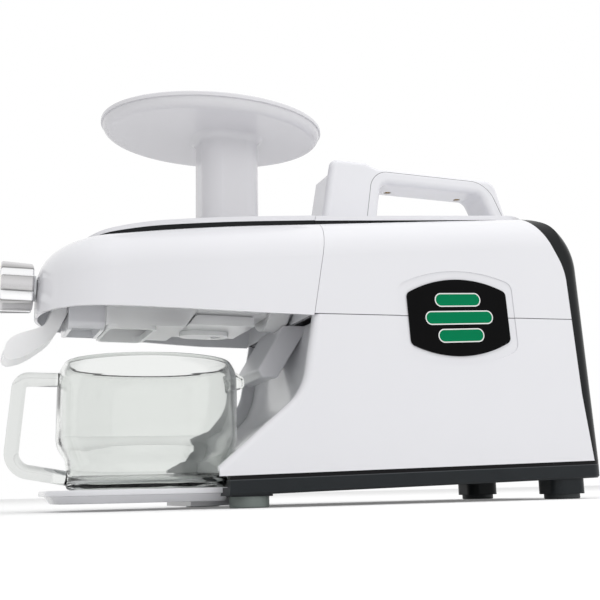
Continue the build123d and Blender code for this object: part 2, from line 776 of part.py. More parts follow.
def handle_form():
    """Whole handle with its finger opening, before it is parted."""
    with BuildPart() as form:
        with BuildSketch(Plane.XZ):
            with BuildLine():
                outer = FilletPolyline(
                    (tower_front[0], opening[0][1]),
                    (tower_front[1], tower_top_z),
                    (tower_rear_x, tower_top_z),
                    (bar_start_x, bar_top_z),
                    (bar_end_x, bar_end_z),
                    (handle_foot_x, opening[0][1]),
                    radius=[8, 7, 7, 12],
                )
                Line(outer @ 1, outer @ 0)
            make_face()
            with BuildLine():
                inner = FilletPolyline(*opening, radius=opening_radius)
                Line(inner @ 1, inner @ 0)
            make_face(mode=Mode.SUBTRACT)
        extrude(amount=handle_width / 2, both=True)
        sides = form.faces().filter_by(Axis.Y)
        rims = sides.edges().filter_by(lambda e: e.center().Z > opening[0][1] + 1)
        fillet(rims, handle_round)
        add(deck_block(), mode=Mode.SUBTRACT)
    return form.part


def grip_region():
    """Region of the lower grip shell, a band around the finger opening."""
    with BuildPart() as region:
        with BuildSketch(Plane.XZ):
            with BuildLine():
                inner = FilletPolyline(*opening, radius=opening_radius)
                Line(inner @ 1, inner @ 0)
            make_face()
            offset(amount=grip_thickness)
        extrude(amount=handle_width, both=True)
    return region.part


def screw(x, y, z, head, head_height, shank, length):
    """Pan-head screw along +Z with its head's underside face at z."""
    with BuildPart() as body:
        with BuildSketch(Plane(origin=(x, y, z), z_dir=(0, 0, 1))):
            Circle(head)
        extrude(amount=head_height)
        with BuildSketch(Plane(origin=(x, y, z + head_height), z_dir=(0, 0, 1))):
            Circle(shank)
        extrude(amount=length)
        with BuildSketch(Plane(origin=(x, y, z), z_dir=(0, 0, 1))):
            Rectangle(2 * head * 0.7, 0.8)
            Rectangle(0.8, 2 * head * 0.7)
        extrude(amount=0.9, mode=Mode.SUBTRACT)
    return body.part


def screw_bore(x, y, z, head, head_height, shank, length):
    """Clearance for a screw of the same sizes."""
    with BuildPart() as bore:
        with BuildSketch(Plane(origin=(x, y, z - 20), z_dir=(0, 0, 1))):
            Circle(head + screw_gap)
        extrude(amount=head_height + 20)
        with BuildSketch(Plane(origin=(x, y, z), z_dir=(0, 0, 1))):
            Circle(shank + screw_gap)
        extrude(amount=head_height + length + screw_gap)
    return bore.part


def handle_screw_sizes(x):
    return (x, handle_screw_y, opening[1][1] + 1.0, 3.2, 2.2, 1.5, 7.0)


def make_handle_shells():
    pocket = cylinder_y(rocker_x, rocker_z, rocker_radius + fit, rocker_width + 2 * fit, rocker_y)
    pin_bore = cylinder_y(
        rocker_x, rocker_z, rocker_pin + running, rocker_width + 2 * pin_seat + 1, rocker_y
    )
    high = handle_width
    near = rocker_y - rocker_width / 2 - fit
    with BuildPart() as finger_scoop:
        with BuildSketch(Plane(origin=(0, near, 0), x_dir=(1, 0, 0), z_dir=(0, -1, 0))):
            with BuildLine():
                start_x, top = scoop[0][0] - high, scoop[-1][1] + high
                Polyline(
                    (start_x, scoop[0][1]), *scoop, (scoop[-1][0], top), (start_x, top), close=True
                )
            make_face()
        extrude(amount=-high)
    with BuildPart() as handle_upper:
        add(handle_form())
        add(grip_region(), mode=Mode.SUBTRACT)
        add(finger_scoop.part, mode=Mode.SUBTRACT)
        add(pocket, mode=Mode.SUBTRACT)
        add(switch_block(fit), mode=Mode.SUBTRACT)
        add(pin_bore, mode=Mode.SUBTRACT)
        for x in handle_screw_x:
            add(screw_bore(*handle_screw_sizes(x)), mode=Mode.SUBTRACT)
    handle_upper.part.label = "handle_upper"
    export_step(handle_upper.part, "parts/handle_upper.step")

    with BuildPart() as handle_lower:
        add(handle_form())
        add(grip_region(), mode=Mode.INTERSECT)
        for x in handle_screw_x:
            add(screw_bore(*handle_screw_sizes(x)), mode=Mode.SUBTRACT)
    handle_lower.part.label = "handle_lower"
    export_step(handle_lower.part, "parts/handle_lower.step")

    with BuildPart() as handle_screws:
        for x in handle_screw_x:
            add(screw(*handle_screw_sizes(x)))
    handle_screws.part.label = "handle_screws"
    export_step(handle_screws.part, "parts/handle_screws.step")


def cylinder_y(x, z, radius, width, y=0.0):
    """A round bar along Y, with its middle at y."""
    with BuildPart() as bar:
        with BuildSketch(Plane(origin=(x, y + width / 2, z), x_dir=(1, 0, 0), z_dir=(0, -1, 0))):
            Circle(radius)
        extrude(amount=width)
    return bar.part


def switch_block(gap):
    """Body of the switch under the rocker, grown by gap."""
    with BuildPart() as block:
        with BuildSketch(Plane.XY.offset(rocker_z - switch_depth - gap)):
            with Locations((rocker_x, rocker_y)):
                Rectangle(2 * rocker_radius - 1 + 2 * gap, rocker_width + 2 * gap)
        extrude(amount=switch_depth + gap)
    return block.part


def make_switch_housing():
    with BuildPart() as switch_housing:
        add(switch_block(0))
        seat = cylinder_y(rocker_x, rocker_z, rocker_radius + fit, 2 * rocker_width, rocker_y)
        add(seat, mode=Mode.SUBTRACT)
    switch_housing.part.label = "switch_housing"
    export_step(switch_housing.part, "parts/switch_housing.step")


def make_power_rocker():
    with BuildPart() as power_rocker:
        add(cylinder_y(rocker_x, rocker_z, rocker_radius, rocker_width, rocker_y))
        # finger dish across the barrel's exposed side
        dish = Plane(
            origin=(rocker_x, rocker_y + rocker_width / 2 - 2, rocker_z),
            x_dir=(1, 0, 0),
            z_dir=(0, -1, 0),
        )
        with BuildSketch(dish):
            with PolarLocations(rocker_radius + 7.3, 1, start_angle=135):
                Circle(8)
        extrude(amount=rocker_width - 4, mode=Mode.SUBTRACT)
        add(cylinder_y(rocker_x, rocker_z, rocker_pin, rocker_width + 2 * pin_seat, rocker_y))
    power_rocker.part.label = "power_rocker"
    export_step(power_rocker.part, "parts/power_rocker.step")


# ---------------------------------------------------------------- badges
def badge_face(grow):
    """Badge outline with bulged top and bottom, as a face in the side view."""
    half_length, half_height = badge_length / 2 + grow, badge_corner_height / 2 + grow
    with BuildSketch(mode=Mode.PRIVATE) as outline:
        with BuildLine():
            peak = half_height + badge_bulge
            ThreePointArc((-half_length, half_height), (0, peak), (half_length, half_height))
            Line((half_length, half_height), (half_length, -half_height))
            ThreePointArc((half_length, -half_height), (0, -peak), (-half_length, -half_height))
            Line((-half_length, -half_height), (-half_length, half_height))
        make_face()
        fillet(outline.vertices(), badge_corner + grow / 2)
    return outline.sketch


def badge_block(grow, y_from, y_to):
    """Badge form on both sides of the body, between two distances from the middle."""
    with BuildPart() as block:
        for side in (1, -1):
            tilt = radians(badge_tilt)
            along = (cos(tilt), 0, sin(tilt))
            start = (badge_x, side * y_from, badge_z)
            with BuildSketch(Plane(origin=start, x_dir=along, z_dir=(0, side, 0))):
                add(badge_face(grow))
            extrude(amount=y_to - y_from)
    return block.part


def make_badge_plates():
    with BuildPart() as badge_plates:
        add(badge_block(0, half_width - badge_recess, half_width - badge_recess + badge_thickness))
    badge_plates.part.label = "badge_plates"
    export_step(badge_plates.part, "parts/badge_plates.step")


# ---------------------------------------------------------------- juicing unit
def chamber_bores(rear, front, radius):
    """The two side-by-side gear bores, with their bridge."""
    with BuildPart() as bores:
        with BuildSketch(across(front, z=shaft_z)):
            with Locations((gear_offset, 0), (-gear_offset, 0)):
                Circle(radius)
            Rectangle(2 * gear_offset, radius)
        extrude(amount=rear - front)
    return bores.part


def juicing_tip():
    return gear_offset + 0.5 * juicing_module


def make_juicing_housing():
    bore = juicing_tip() + chamber_clearance
    middle = (chamber_low + chamber_high) / 2
    port_high = chamber_high + 14
    with BuildPart() as juicing_housing:
        with BuildSketch(across(housing_front_x, z=middle)):
            RectangleRounded(2 * chamber_half_width, chamber_high - chamber_low, 14)
        extrude(amount=chamber_rear_x - housing_front_x)
        # sleeve over the gearbox neck
        sleeve_length = sleeve_end_x - chamber_rear_x + 1
        add(cylinder_x(chamber_rear_x - 1, sleeve_length, neck_radius + sleeve_wall, shaft_y, shaft_z))
        # juice trough and spout
        add(
            side_slab(
                [
                    (housing_front_x, trough_z),
                    (trough_rear_x, trough_z),
                    (trough_rear_x + 16, chamber_low + 12),
                    (trough_rear_x + 16, chamber_low + 14),
                    (housing_front_x, chamber_low + 14),
                ],
                spout_half_width,
            )
        )
        with BuildSketch(Plane.XY.offset(spout_z)):
            with Locations((spout_x, 0)):
                RectangleRounded(spout_length, 2 * spout_half_width, 8)
        extrude(amount=trough_z - spout_z + 1)
        # feed port
        add(feed_plug(feed_gap + wall, middle, port_high))
        # hollow inside
        with BuildSketch(Plane.XY.offset(trough_z + wall)):
            with Locations(((housing_front_x + trough_rear_x) / 2 + 1.5, 0)):
                Rectangle(trough_rear_x - housing_front_x - 5, 2 * (spout_half_width - wall))
        extrude(amount=chamber_low - trough_z - wall, mode=Mode.SUBTRACT)
        with BuildSketch(Plane.XY.offset(spout_z)):
            with Locations((spout_x, 0)):
                RectangleRounded(spout_length - 2 * wall, 2 * (spout_half_width - wall), 6)
        extrude(amount=chamber_low - spout_z - 5, mode=Mode.SUBTRACT)
        with BuildSketch(Plane.XY.offset(chamber_low - 1)):
            with Locations((spout_x + 17, 0)):
                Rectangle(screen_length - 8, 2 * (screen_half_width - 4))
        extrude(amount=middle - chamber_low, mode=Mode.SUBTRACT)
        add(chamber_bores(juicing_rear_x, housing_front_x, bore), mode=Mode.SUBTRACT)
        with BuildSketch(Plane.XY.offset(middle)):
            with Locations((feed_x, 0)):
                RectangleRounded(feed_length - 8, 2 * (gear_offset + 5), 6)
        extrude(amount=50, mode=Mode.SUBTRACT)
        add(feed_plug(feed_gap, feed_low - fit, port_high + 1), mode=Mode.SUBTRACT)
        # shaft holes in the rear wall
        add(cylinder_x(chamber_rear_x, 3 * overrun, neck_radius + fit, shaft_y, shaft_z), mode=Mode.SUBTRACT)
        hole = drive_shaft_radius + fit
        add(cylinder_x(juicing_rear_x - overrun, 2 * overrun, hole, shaft_y, shaft_z), mode=Mode.SUBTRACT)
        add(cylinder_x(juicing_rear_x - 1, 5, stub_radius + running, -shaft_y, shaft_z), mode=Mode.SUBTRACT)
    juicing_housing.part.label = "juicing_housing"
    export_step(juicing_housing.part, "parts/juicing_housing.step")


def make_juice_strainer():
    with BuildPart() as juice_strainer:
        with BuildSketch(Plane.XY.offset(chamber_low - 1.0)):
            with Locations((spout_x + 17, 0)):
                Rectangle(screen_length, 2 * screen_half_width)
                with GridLocations(3.2, 16, 11, 3):
                    SlotOverall(13, 1.4, rotation=90, mode=Mode.SUBTRACT)
        extrude(amount=0.9)
    juice_strainer.part.label = "juice_strainer"
    export_step(juice_strainer.part, "parts/juice_strainer.step")


def make_screen_latch():
    """Block under the chamber's rear with the finger tab that frees the screen."""
    with BuildPart() as screen_latch:
        with BuildSketch(Plane.XZ):
            with BuildLine():
                Polyline(
                    (latch_front_x, latch_low),
                    (latch_rear_x, latch_low),
                    (latch_rear_x, chamber_low - 0.1),
                    (latch_front_x + 6, chamber_low - 0.1),
                    close=True,
                )
            make_face()
        extrude(amount=latch_half_width, both=True)
        with BuildSketch(Plane.XY.offset(latch_low - tab_thickness)):
            with Locations(((latch_front_x + 1 + tab_end_x) / 2, tab_y)):
                SlotOverall(tab_end_x - latch_front_x - 1, tab_width)
            with Locations((tab_end_x - tab_width / 2, tab_y)):
                Circle(tab_hole, mode=Mode.SUBTRACT)
        extrude(amount=tab_thickness)
    screen_latch.part.label = "screen_latch"
    export_step(screen_latch.part, "parts/screen_latch.step")


def make_juicing_gears():
    tip = 0.5
    for name, side in (("drive_juicing_gear", -1), ("driven_juicing_gear", 1)):
        # a tooth of the near gear points at the gap of the far one
        turn = 0.0 if side < 0 else 180.0 / juicing_teeth + 180.0
        length = juicing_rear_x - fit - juicing_front_x
        with BuildPart() as gear:
            with BuildSketch(across(juicing_front_x, side * gear_offset, shaft_z)):
                add(gear_face(juicing_teeth, juicing_module, juicing_slack, turn, tip, 0.9))
            extrude(amount=length)
            # front stub in the end cap
            stub_x = juicing_front_x - stub_length
            add(cylinder_x(stub_x, stub_length, stub_radius, side * gear_offset, shaft_z))
            if side < 0:
                # hexagonal socket for the drive shaft
                with BuildSketch(across(juicing_rear_x - socket_depth - fit, side * gear_offset, shaft_z)):
                    RegularPolygon(hex_radius + fit, 6)
                extrude(amount=socket_depth + 5, mode=Mode.SUBTRACT)
            else:
                add(cylinder_x(juicing_rear_x - fit, 3.0, stub_radius, side * gear_offset, shaft_z))
        gear.part.label = name
        export_step(gear.part, "parts/" + name + ".step")


def make_end_cap():
    middle = (cap_low + cap_high) / 2
    bore = juicing_tip() + chamber_clearance
    with BuildPart() as end_cap:
        with BuildSketch(across(cap_front_x, z=middle)):
            RectangleRounded(2 * cap_half_width, cap_high - cap_low, 6)
        extrude(amount=housing_front_x - cap_front_x)
        with BuildSketch(Plane.XY.offset(cap_low)):
            with Locations(((cap_front_x + housing_front_x) / 2, 0)):
                Rectangle(housing_front_x - cap_front_x - 2 * cap_wall, 2 * (cap_half_width - cap_wall))
        extrude(amount=cap_pocket, mode=Mode.SUBTRACT)
        # plug that closes the chamber and carries the gears' front stubs
        add(chamber_bores(juicing_front_x - 1.0, housing_front_x, bore - fit))
        for side in (1, -1):
            stub_x = juicing_front_x - stub_length - 1
            bore_radius = stub_radius + running
            add(
                cylinder_x(stub_x, stub_length + 1, bore_radius, side * gear_offset, shaft_z),
                mode=Mode.SUBTRACT,
            )
        add(cylinder_x(housing_front_x - 1, 20, pulp_radius, z=shaft_z), mode=Mode.SUBTRACT)
        # nozzle bore, stem hole and the pulp exit under them
        bore_x = cap_front_x + cap_wall
        add(cylinder_x(bore_x, housing_front_x - bore_x, nozzle_radius + fit, z=shaft_z), mode=Mode.SUBTRACT)
        add(cylinder_x(cap_front_x - 1, 8, stem_radius + running, z=shaft_z), mode=Mode.SUBTRACT)
        with BuildSketch(across(cap_front_x - 1, z=exit_z)):
            Rectangle(2 * exit_half_width, exit_height)
        extrude(amount=20, mode=Mode.SUBTRACT)
        with BuildSketch(Plane.XY.offset(exit_z - exit_height / 2)):
            with Locations((cap_front_x + 11, 0)):
                Rectangle(10, 12)
        extrude(amount=shaft_z - exit_z, mode=Mode.SUBTRACT)
        # tongue that fills the hood's nose slot under the stem
        with BuildSketch(across(nose_x + 0.2, z=(tongue_low + tongue_high) / 2)):
            Rectangle(2 * (slot_half_width - 0.4), tongue_high - tongue_low)
        extrude(amount=wall - 0.4)
        with BuildSketch(across(nose_x + wall - 0.3, z=tongue_high - 2)):
            Rectangle(5, 4)
        extrude(amount=cap_front_x - nose_x - wall + 0.4)
    end_cap.part.label = "end_cap"
    export_step(end_cap.part, "parts/end_cap.step")


def make_outlet_nozzle():
    """Cone that the knob's screw moves to set the pulp's back pressure."""
    with BuildPart() as outlet_nozzle:
        add(cylinder_x(nozzle_rear_x, nozzle_length, nozzle_radius, z=shaft_z))
        with BuildSketch(across(nozzle_rear_x + nozzle_length, z=shaft_z)):
            Circle(nozzle_radius - 1)
        extrude(amount=3, taper=40)
        add(cylinder_x(nozzle_rear_x - 1, nozzle_length, stem_radius + fit, z=shaft_z), mode=Mode.SUBTRACT)
    outlet_nozzle.part.label = "outlet_nozzle"
    export_step(outlet_nozzle.part, "parts/outlet_nozzle.step")


def make_adjusting_knob():
    back = knob_front_x + knob_length
    with BuildPart() as adjusting_knob:
        with BuildSketch(across(back, z=shaft_z)):
            Circle(knob_radius - 1.6)
        extrude(amount=-knob_length, taper=-3)
        rims = adjusting_knob.edges().filter_by(GeomType.CIRCLE)
        fillet(rims, 2.0)
        # finger flutes between the lobes
        with BuildSketch(across(knob_front_x - 1, z=shaft_z)):
            with PolarLocations(knob_radius + flute_radius - flute_depth, knob_lobes, start_angle=30):
                Circle(flute_radius)
        extrude(amount=knob_length + 2, mode=Mode.SUBTRACT)
        flute_edges = adjusting_knob.edges().filter_by(
            lambda e: e.length > knob_length * 0.6
            and abs(e.center().X - (knob_front_x + knob_length / 2)) < 4
        )
        fillet(flute_edges, 1.6)
    adjusting_knob.part.label = "adjusting_knob"
    export_step(adjusting_knob.part, "parts/adjusting_knob.step")


def make_knob_stem():
    back = knob_front_x + knob_length
    with BuildPart() as knob_stem:
        add(cylinder_x(back, nose_x - 0.3 - back, collar_radius, z=shaft_z))
        add(cylinder_x(back, stem_end_x - back, stem_radius, z=shaft_z))
    knob_stem.part.label = "knob_stem"
    export_step(knob_stem.part, "parts/knob_stem.step")


def make_pulp_chute():
    """Open trough under the nose that turns the pulp downwards."""
    with BuildPart() as pulp_chute:
        with BuildSketch(Plane.XZ):
            with BuildLine():
                under = Spline(*chute_under)
                tip = TangentArc(under @ 1, chute_over[0], tangent=under % 1)
                over = Spline(*chute_over)
                Line(over @ 1, under @ 0)
            make_face()
        extrude(amount=chute_half_width, both=True)
        with BuildSketch(Plane.XZ):
            with BuildLine():
                inner = Spline(*[(x - chute_wall * 0.6, z + chute_wall * 1.3) for x, z in chute_under])
                far = (chute_under[-1][0] - 40, chute_under[-1][1] + 10)
                Polyline(inner @ 1, far, (cap_front_x - 30, 190))
                Polyline((cap_front_x - 30, 190), (cap_front_x + 5, 190), inner @ 0)
            make_face()
        extrude(amount=chute_half_width - chute_wall, both=True, mode=Mode.SUBTRACT)
    pulp_chute.part.label = "pulp_chute"
    export_step(pulp_chute.part, "parts/pulp_chute.step")


# ---------------------------------------------------------------- feed tray
def make_hopper_tray():
    floor = tray_low + tray_wall
    with BuildPart() as hopper_tray:
        with BuildSketch(Plane.XY.offset(tray_low)):
            with Locations((tray_x, 0)):
                Ellipse(tray_half_length, tray_half_width)
        extrude(amount=tray_rim_z - tray_low)
        fillet(hopper_tray.faces().sort_by(Axis.Z)[0].edges(), tray_round)
        with BuildSketch(Plane.XY.offset(tray_rim_z - tray_lip_height)):
            with Locations((tray_x, 0)):
                Ellipse(tray_half_length + tray_lip, tray_half_width + tray_lip)
        extrude(amount=tray_lip_height)
        rims = hopper_tray.faces().sort_by(Axis.Z)[-1].edges()
        fillet(rims, 1.3)
        with BuildSketch(Plane.XY.offset(feed_low)):
            with Locations((feed_x, 0)):
                RectangleRounded(feed_length, feed_width, feed_radius)
        extrude(amount=tray_low - feed_low + 1)
        throat = hopper_tray.edges().filter_by(
            lambda e: abs(e.center().Z - tray_low) < 0.1
            and abs(e.center().X - feed_x) <= feed_length / 2 + 0.1
            and abs(e.center().Y) <= feed_width / 2 + 0.1
            and e.length < feed_length
        )
        fillet(throat, throat_round)
        with BuildSketch(Plane.XY.offset(floor)):
            with Locations((tray_x, 0)):
                Ellipse(tray_half_length - tray_wall, tray_half_width - tray_wall)
        extrude(amount=60, mode=Mode.SUBTRACT)
        with BuildSketch(Plane.XY.offset(feed_low - 1)):
            with Locations((feed_x, 0)):
                RectangleRounded(feed_length - 2 * wall, feed_width - 2 * wall, feed_radius - wall)
        extrude(amount=beyond, mode=Mode.SUBTRACT)
    hopper_tray.part.label = "hopper_tray"
    export_step(hopper_tray.part, "parts/hopper_tray.step")


# ---------------------------------------------------------------- pitcher and drip tray
def pitcher_wall_outline(inner):
    """Half section of the pitcher's outside, or of its inside, as (r, z) points."""
    step = pitcher_wall if inner else 0.0
    foot = pitcher_base_z + (pitcher_floor if inner else 0.0)
    return [
        (0, foot),
        (pitcher_base_radius - step, foot),
        (pitcher_base_radius - step, pitcher_waist_z - step / 2),
        (pitcher_radius - step, pitcher_waist_z + 11 - step / 2),
        (pitcher_radius - step, pitcher_rim_z + (1 if inner else 0)),
        (0, pitcher_rim_z + (1 if inner else 0)),
    ]


def pitcher_turn(inner):
    points = pitcher_wall_outline(inner)
    with BuildPart() as turned:
        with BuildSketch(Plane.XZ):
            with BuildLine():
                curve = FilletPolyline(*points[:5], radius=[5, 8, 7])
                Polyline(curve @ 1, points[5], points[0])
            make_face()
        revolve(axis=Axis.Z)
    return turned.part


def make_glass_pitcher():
    at_pitcher = Location((pitcher_x, 0, 0))
    outside = pitcher_turn(False).moved(at_pitcher)
    inside = pitcher_turn(True).moved(at_pitcher)
    with BuildPart() as glass_pitcher:
        with BuildSketch(Plane.XZ):
            with BuildLine():
                FilletPolyline(*grip_path, radius=grip_bend)
            trace(line_width=grip_bar)
        extrude(amount=grip_bar_width / 2, both=True)
        long_edges = glass_pitcher.edges().filter_by(
            lambda e: abs(abs(e.center().Y) - grip_bar_width / 2) < 0.01
        )
        fillet(long_edges.filter_by(lambda e: e.center().X < grip_path[0][0] - 1), 3.5)
        add(outside)
        # pouring lip opposite the grip
        with BuildSketch(Plane.XZ):
            with BuildLine():
                Polyline(
                    (pitcher_x + pitcher_radius - 6, lip_low),
                    (lip_x - 3, lip_low + 6),
                    (lip_x, pitcher_rim_z - 4),
                    (lip_x, pitcher_rim_z),
                    (pitcher_x + pitcher_radius - 6, pitcher_rim_z),
                    close=True,
                )
            make_face()
        extrude(amount=lip_half_width, both=True)
        add(inside, mode=Mode.SUBTRACT)
        with BuildSketch(Plane(origin=(lip_x + 5, 0, pitcher_rim_z + 2), z_dir=(-1, 0, -0.35))):
            Circle(lip_half_width - 4)
        extrude(amount=26, mode=Mode.SUBTRACT)
        fillet(glass_pitcher.edges().filter_by(GeomType.CIRCLE).sort_by(Axis.Z)[-4:], 1.0)
    glass_pitcher.part.label = "glass_pitcher"
    export_step(glass_pitcher.part, "parts/glass_pitcher.step")


def make_drip_tray():
    length = drip_rear_x - drip_front_x
    middle = (drip_front_x + drip_rear_x) / 2
    rim_low = drip_rim_z - drip_rim_height
    with BuildPart() as drip_tray:
        with BuildSketch(Plane.XY.offset(rim_low)):
            with Locations((middle, 0)):
                RectangleRounded(length, 2 * drip_half_width, drip_corner)
        extrude(amount=drip_rim_height)
        with BuildSketch(Plane.XY.offset(rim_low)):
            with Locations((middle, 0)):
                RectangleRounded(length - 6, 2 * drip_half_width - 6, drip_corner - 3)
        extrude(amount=drip_low - rim_low, taper=35)
        with BuildSketch(Plane.XY.offset(drip_low + drip_wall)):
            with Locations((middle, 0)):
                RectangleRounded(length - 20, 2 * drip_half_width - 20, drip_corner - 8)
        extrude(amount=20, mode=Mode.SUBTRACT)
        # ribs that carry the pitcher level with the rim
        with BuildSketch(Plane.XY.offset(drip_low + drip_wall)):
            with Locations((pitcher_x, 0)):
                Circle(rest_radius + 3)
                Circle(rest_radius, mode=Mode.SUBTRACT)
                Circle(rest_radius / 2 + 3)
                Circle(rest_radius / 2, mode=Mode.SUBTRACT)
            with Locations((middle, 0)):
                RectangleRounded(length - 20, 2 * drip_half_width - 20, drip_corner - 8, mode=Mode.INTERSECT)
        extrude(amount=drip_rim_z - drip_low - drip_wall)
        # tongue that slides under the base
        with BuildSketch(Plane.XY.offset(drip_low)):
            with Locations(((drip_rear_x - 12 + drip_tongue_x) / 2, 0)):
                Rectangle(drip_tongue_x - drip_rear_x + 12, 2 * drip_tongue_half)
        extrude(amount=drip_tongue_height)
    drip_tray.part.label = "drip_tray"
    export_step(drip_tray.part, "parts/drip_tray.step")


# ---------------------------------------------------------------- gearbox
def mesh_turn(teeth, toward, tooth):
    """Turn that puts a tooth, or a gap, of a gear at the angle toward."""
    return toward if tooth else toward + 180.0 / teeth


def hull_face(grow):
    """Section of the gearbox case: a hull round its three shafts."""
    with BuildSketch(mode=Mode.PRIVATE) as section:
        for y, z, radius in (
            (shaft_y, shaft_z, output_module * output_teeth / 2 + case_gap),
            (cluster_y, cluster_z, motor_module * wheel_teeth / 2 + case_gap),
            (0.0, motor_z, motor_module * pinion_teeth / 2 + case_gap + 3),
        ):
            with Locations((y, z)):
                Circle(radius + grow)
        make_hull()
    return section.sketch


def make_gearbox():
    floor = base_floor()
    with BuildPart() as gearbox_case:
        with BuildSketch(across(case_x)):
            add(hull_face(case_wall))
        extrude(amount=case_length)
        with BuildSketch(across(case_x + case_wall + 1)):
            add(hull_face(0))
        extrude(amount=case_length, mode=Mode.SUBTRACT)
        # neck that the juicing housing plugs onto
        add(cylinder_x(neck_x, case_x - neck_x + 1, neck_radius, shaft_y, shaft_z))
        # boss for the front bearing
        add(cylinder_x(case_x + case_wall, bearing_width, bearing_outer + boss_wall, shaft_y, shaft_z))
        add(
            cylinder_x(bearing_seat_x, bearing_width, bearing_outer, shaft_y, shaft_z),
            mode=Mode.SUBTRACT,
        )
        shaft_bore = drive_shaft_radius + 2 * fit
        add(cylinder_x(neck_x - 1, case_length, shaft_bore, shaft_y, shaft_z), mode=Mode.SUBTRACT)
        # seal seat in the neck's end
        add(cylinder_x(neck_x - 1, seal_width + 1, seal_outer, shaft_y, shaft_z), mode=Mode.SUBTRACT)
        # blind seat of the cluster gear's pin
        add(cylinder_x(case_x + case_wall, pin_boss, cluster_pin + boss_wall, cluster_y, cluster_z))
        pin_x = case_x + case_wall - pin_depth
        add(cylinder_x(pin_x, pin_boss + case_wall, cluster_pin, cluster_y, cluster_z), mode=Mode.SUBTRACT)
        # pedestal on the base's floor
        with BuildSketch(Plane.XY.offset(floor)):
            with Locations((case_x + case_length / 2, 0)):
                Rectangle(case_length - 2 * pedestal_inset, pedestal_width)
        extrude(amount=motor_z - floor - motor_module * pinion_teeth / 2 - case_gap - case_wall)
    gearbox_case.part.label = "gearbox_case"
    export_step(gearbox_case.part, "parts/gearbox_case.step")

    with BuildPart() as gearbox_cover:
        with BuildSketch(across(cover_x)):
            add(hull_face(case_wall))
        extrude(amount=cover_thickness)
        boss = bearing_outer + boss_wall
        add(cylinder_x(cover_x, bearing_width + cover_thickness, boss, shaft_y, shaft_z))
        add(cylinder_x(cover_x - 1, bearing_width + 1, bearing_outer, shaft_y, shaft_z), mode=Mode.SUBTRACT)
        motor_hole = cylinder_x(cover_x - 1, cover_thickness + 2, motor_shaft_radius + boss_wall, z=motor_z)
        add(motor_hole, mode=Mode.SUBTRACT)
        add(cylinder_x(cover_x - 1, 1 + pin_depth, cluster_pin, cluster_y, cluster_z), mode=Mode.SUBTRACT)
    gearbox_cover.part.label = "gearbox_cover"
    export_step(gearbox_cover.part, "parts/gearbox_cover.step")


def make_drive_line():
    to_cluster = degrees(atan2(cluster_z - motor_z, cluster_y))
    to_output = degrees(atan2(shaft_z - cluster_z, shaft_y - cluster_y))

    with BuildPart() as motor_pinion:
        with BuildSketch(across(first_stage_x - 1, 0, motor_z)):
            add(gear_face(pinion_teeth, motor_module, gear_slack, mesh_turn(pinion_teeth, to_cluster, True)))
            Circle(motor_shaft_radius, mode=Mode.SUBTRACT)
        extrude(amount=first_stage_width + 2)
    motor_pinion.part.label = "motor_pinion"
    export_step(motor_pinion.part, "parts/motor_pinion.step")

    with BuildPart() as cluster_gear:
        with BuildSketch(across(first_stage_x, cluster_y, cluster_z)):
            wheel_turn = mesh_turn(wheel_teeth, to_cluster + 180, False)
            add(gear_face(wheel_teeth, motor_module, gear_slack, wheel_turn))
        extrude(amount=first_stage_width)
        with BuildSketch(across(second_stage_x, cluster_y, cluster_z)):
            add(gear_face(small_teeth, output_module, gear_slack, mesh_turn(small_teeth, to_output, True)))
        extrude(amount=first_stage_x - second_stage_x)
        axle_bore = cylinder_x(case_x, case_length, cluster_pin + running, cluster_y, cluster_z)
        add(axle_bore, mode=Mode.SUBTRACT)
    cluster_gear.part.label = "cluster_gear"
    export_step(cluster_gear.part, "parts/cluster_gear.step")

    with BuildPart() as cluster_axle:
        pin_x = case_x + case_wall - pin_depth
        add(cylinder_x(pin_x, cover_x + pin_depth - pin_x, cluster_pin, cluster_y, cluster_z))
    cluster_axle.part.label = "cluster_axle"
    export_step(cluster_axle.part, "parts/cluster_axle.step")

    with BuildPart() as output_gear:
        with BuildSketch(across(second_stage_x + 1, shaft_y, shaft_z)):
            output_turn = mesh_turn(output_teeth, to_output + 180, False)
            add(gear_face(output_teeth, output_module, gear_slack, output_turn))
            Circle(drive_shaft_radius, mode=Mode.SUBTRACT)
            with PolarLocations(web_hole_circle, web_holes):
                Circle(web_hole_radius, mode=Mode.SUBTRACT)
        extrude(amount=second_stage_width)
    output_gear.part.label = "output_gear"
    export_step(output_gear.part, "parts/output_gear.step")

    with BuildPart() as drive_shaft:
        shaft_length = cover_x + bearing_width - neck_x + 1
        add(cylinder_x(neck_x - 1, shaft_length, drive_shaft_radius, shaft_y, shaft_z))
        with BuildSketch(across(hex_end_x, shaft_y, shaft_z)):
            RegularPolygon(hex_radius, 6)
        extrude(amount=neck_x - hex_end_x)
    drive_shaft.part.label = "drive_shaft"
    export_step(drive_shaft.part, "parts/drive_shaft.step")

    with BuildPart() as shaft_bearings:
        for x in (bearing_seat_x, cover_x):
            bearing_bore = drive_shaft_radius + bearing_gap
            add(cylinder_x(x, bearing_width, bearing_outer, shaft_y, shaft_z, bearing_bore))
    shaft_bearings.part.label = "shaft_bearings"
    export_step(shaft_bearings.part, "parts/shaft_bearings.step")

    with BuildPart() as shaft_seal:
        add(cylinder_x(neck_x, seal_width, seal_outer, shaft_y, shaft_z, drive_shaft_radius + bearing_gap))
    shaft_seal.part.label = "shaft_seal"
    export_step(shaft_seal.part, "parts/shaft_seal.step")


# ---------------------------------------------------------------- motor
def base_floor():
    """Top of the base plate's floor."""
    return band_low(rear_x) + 3


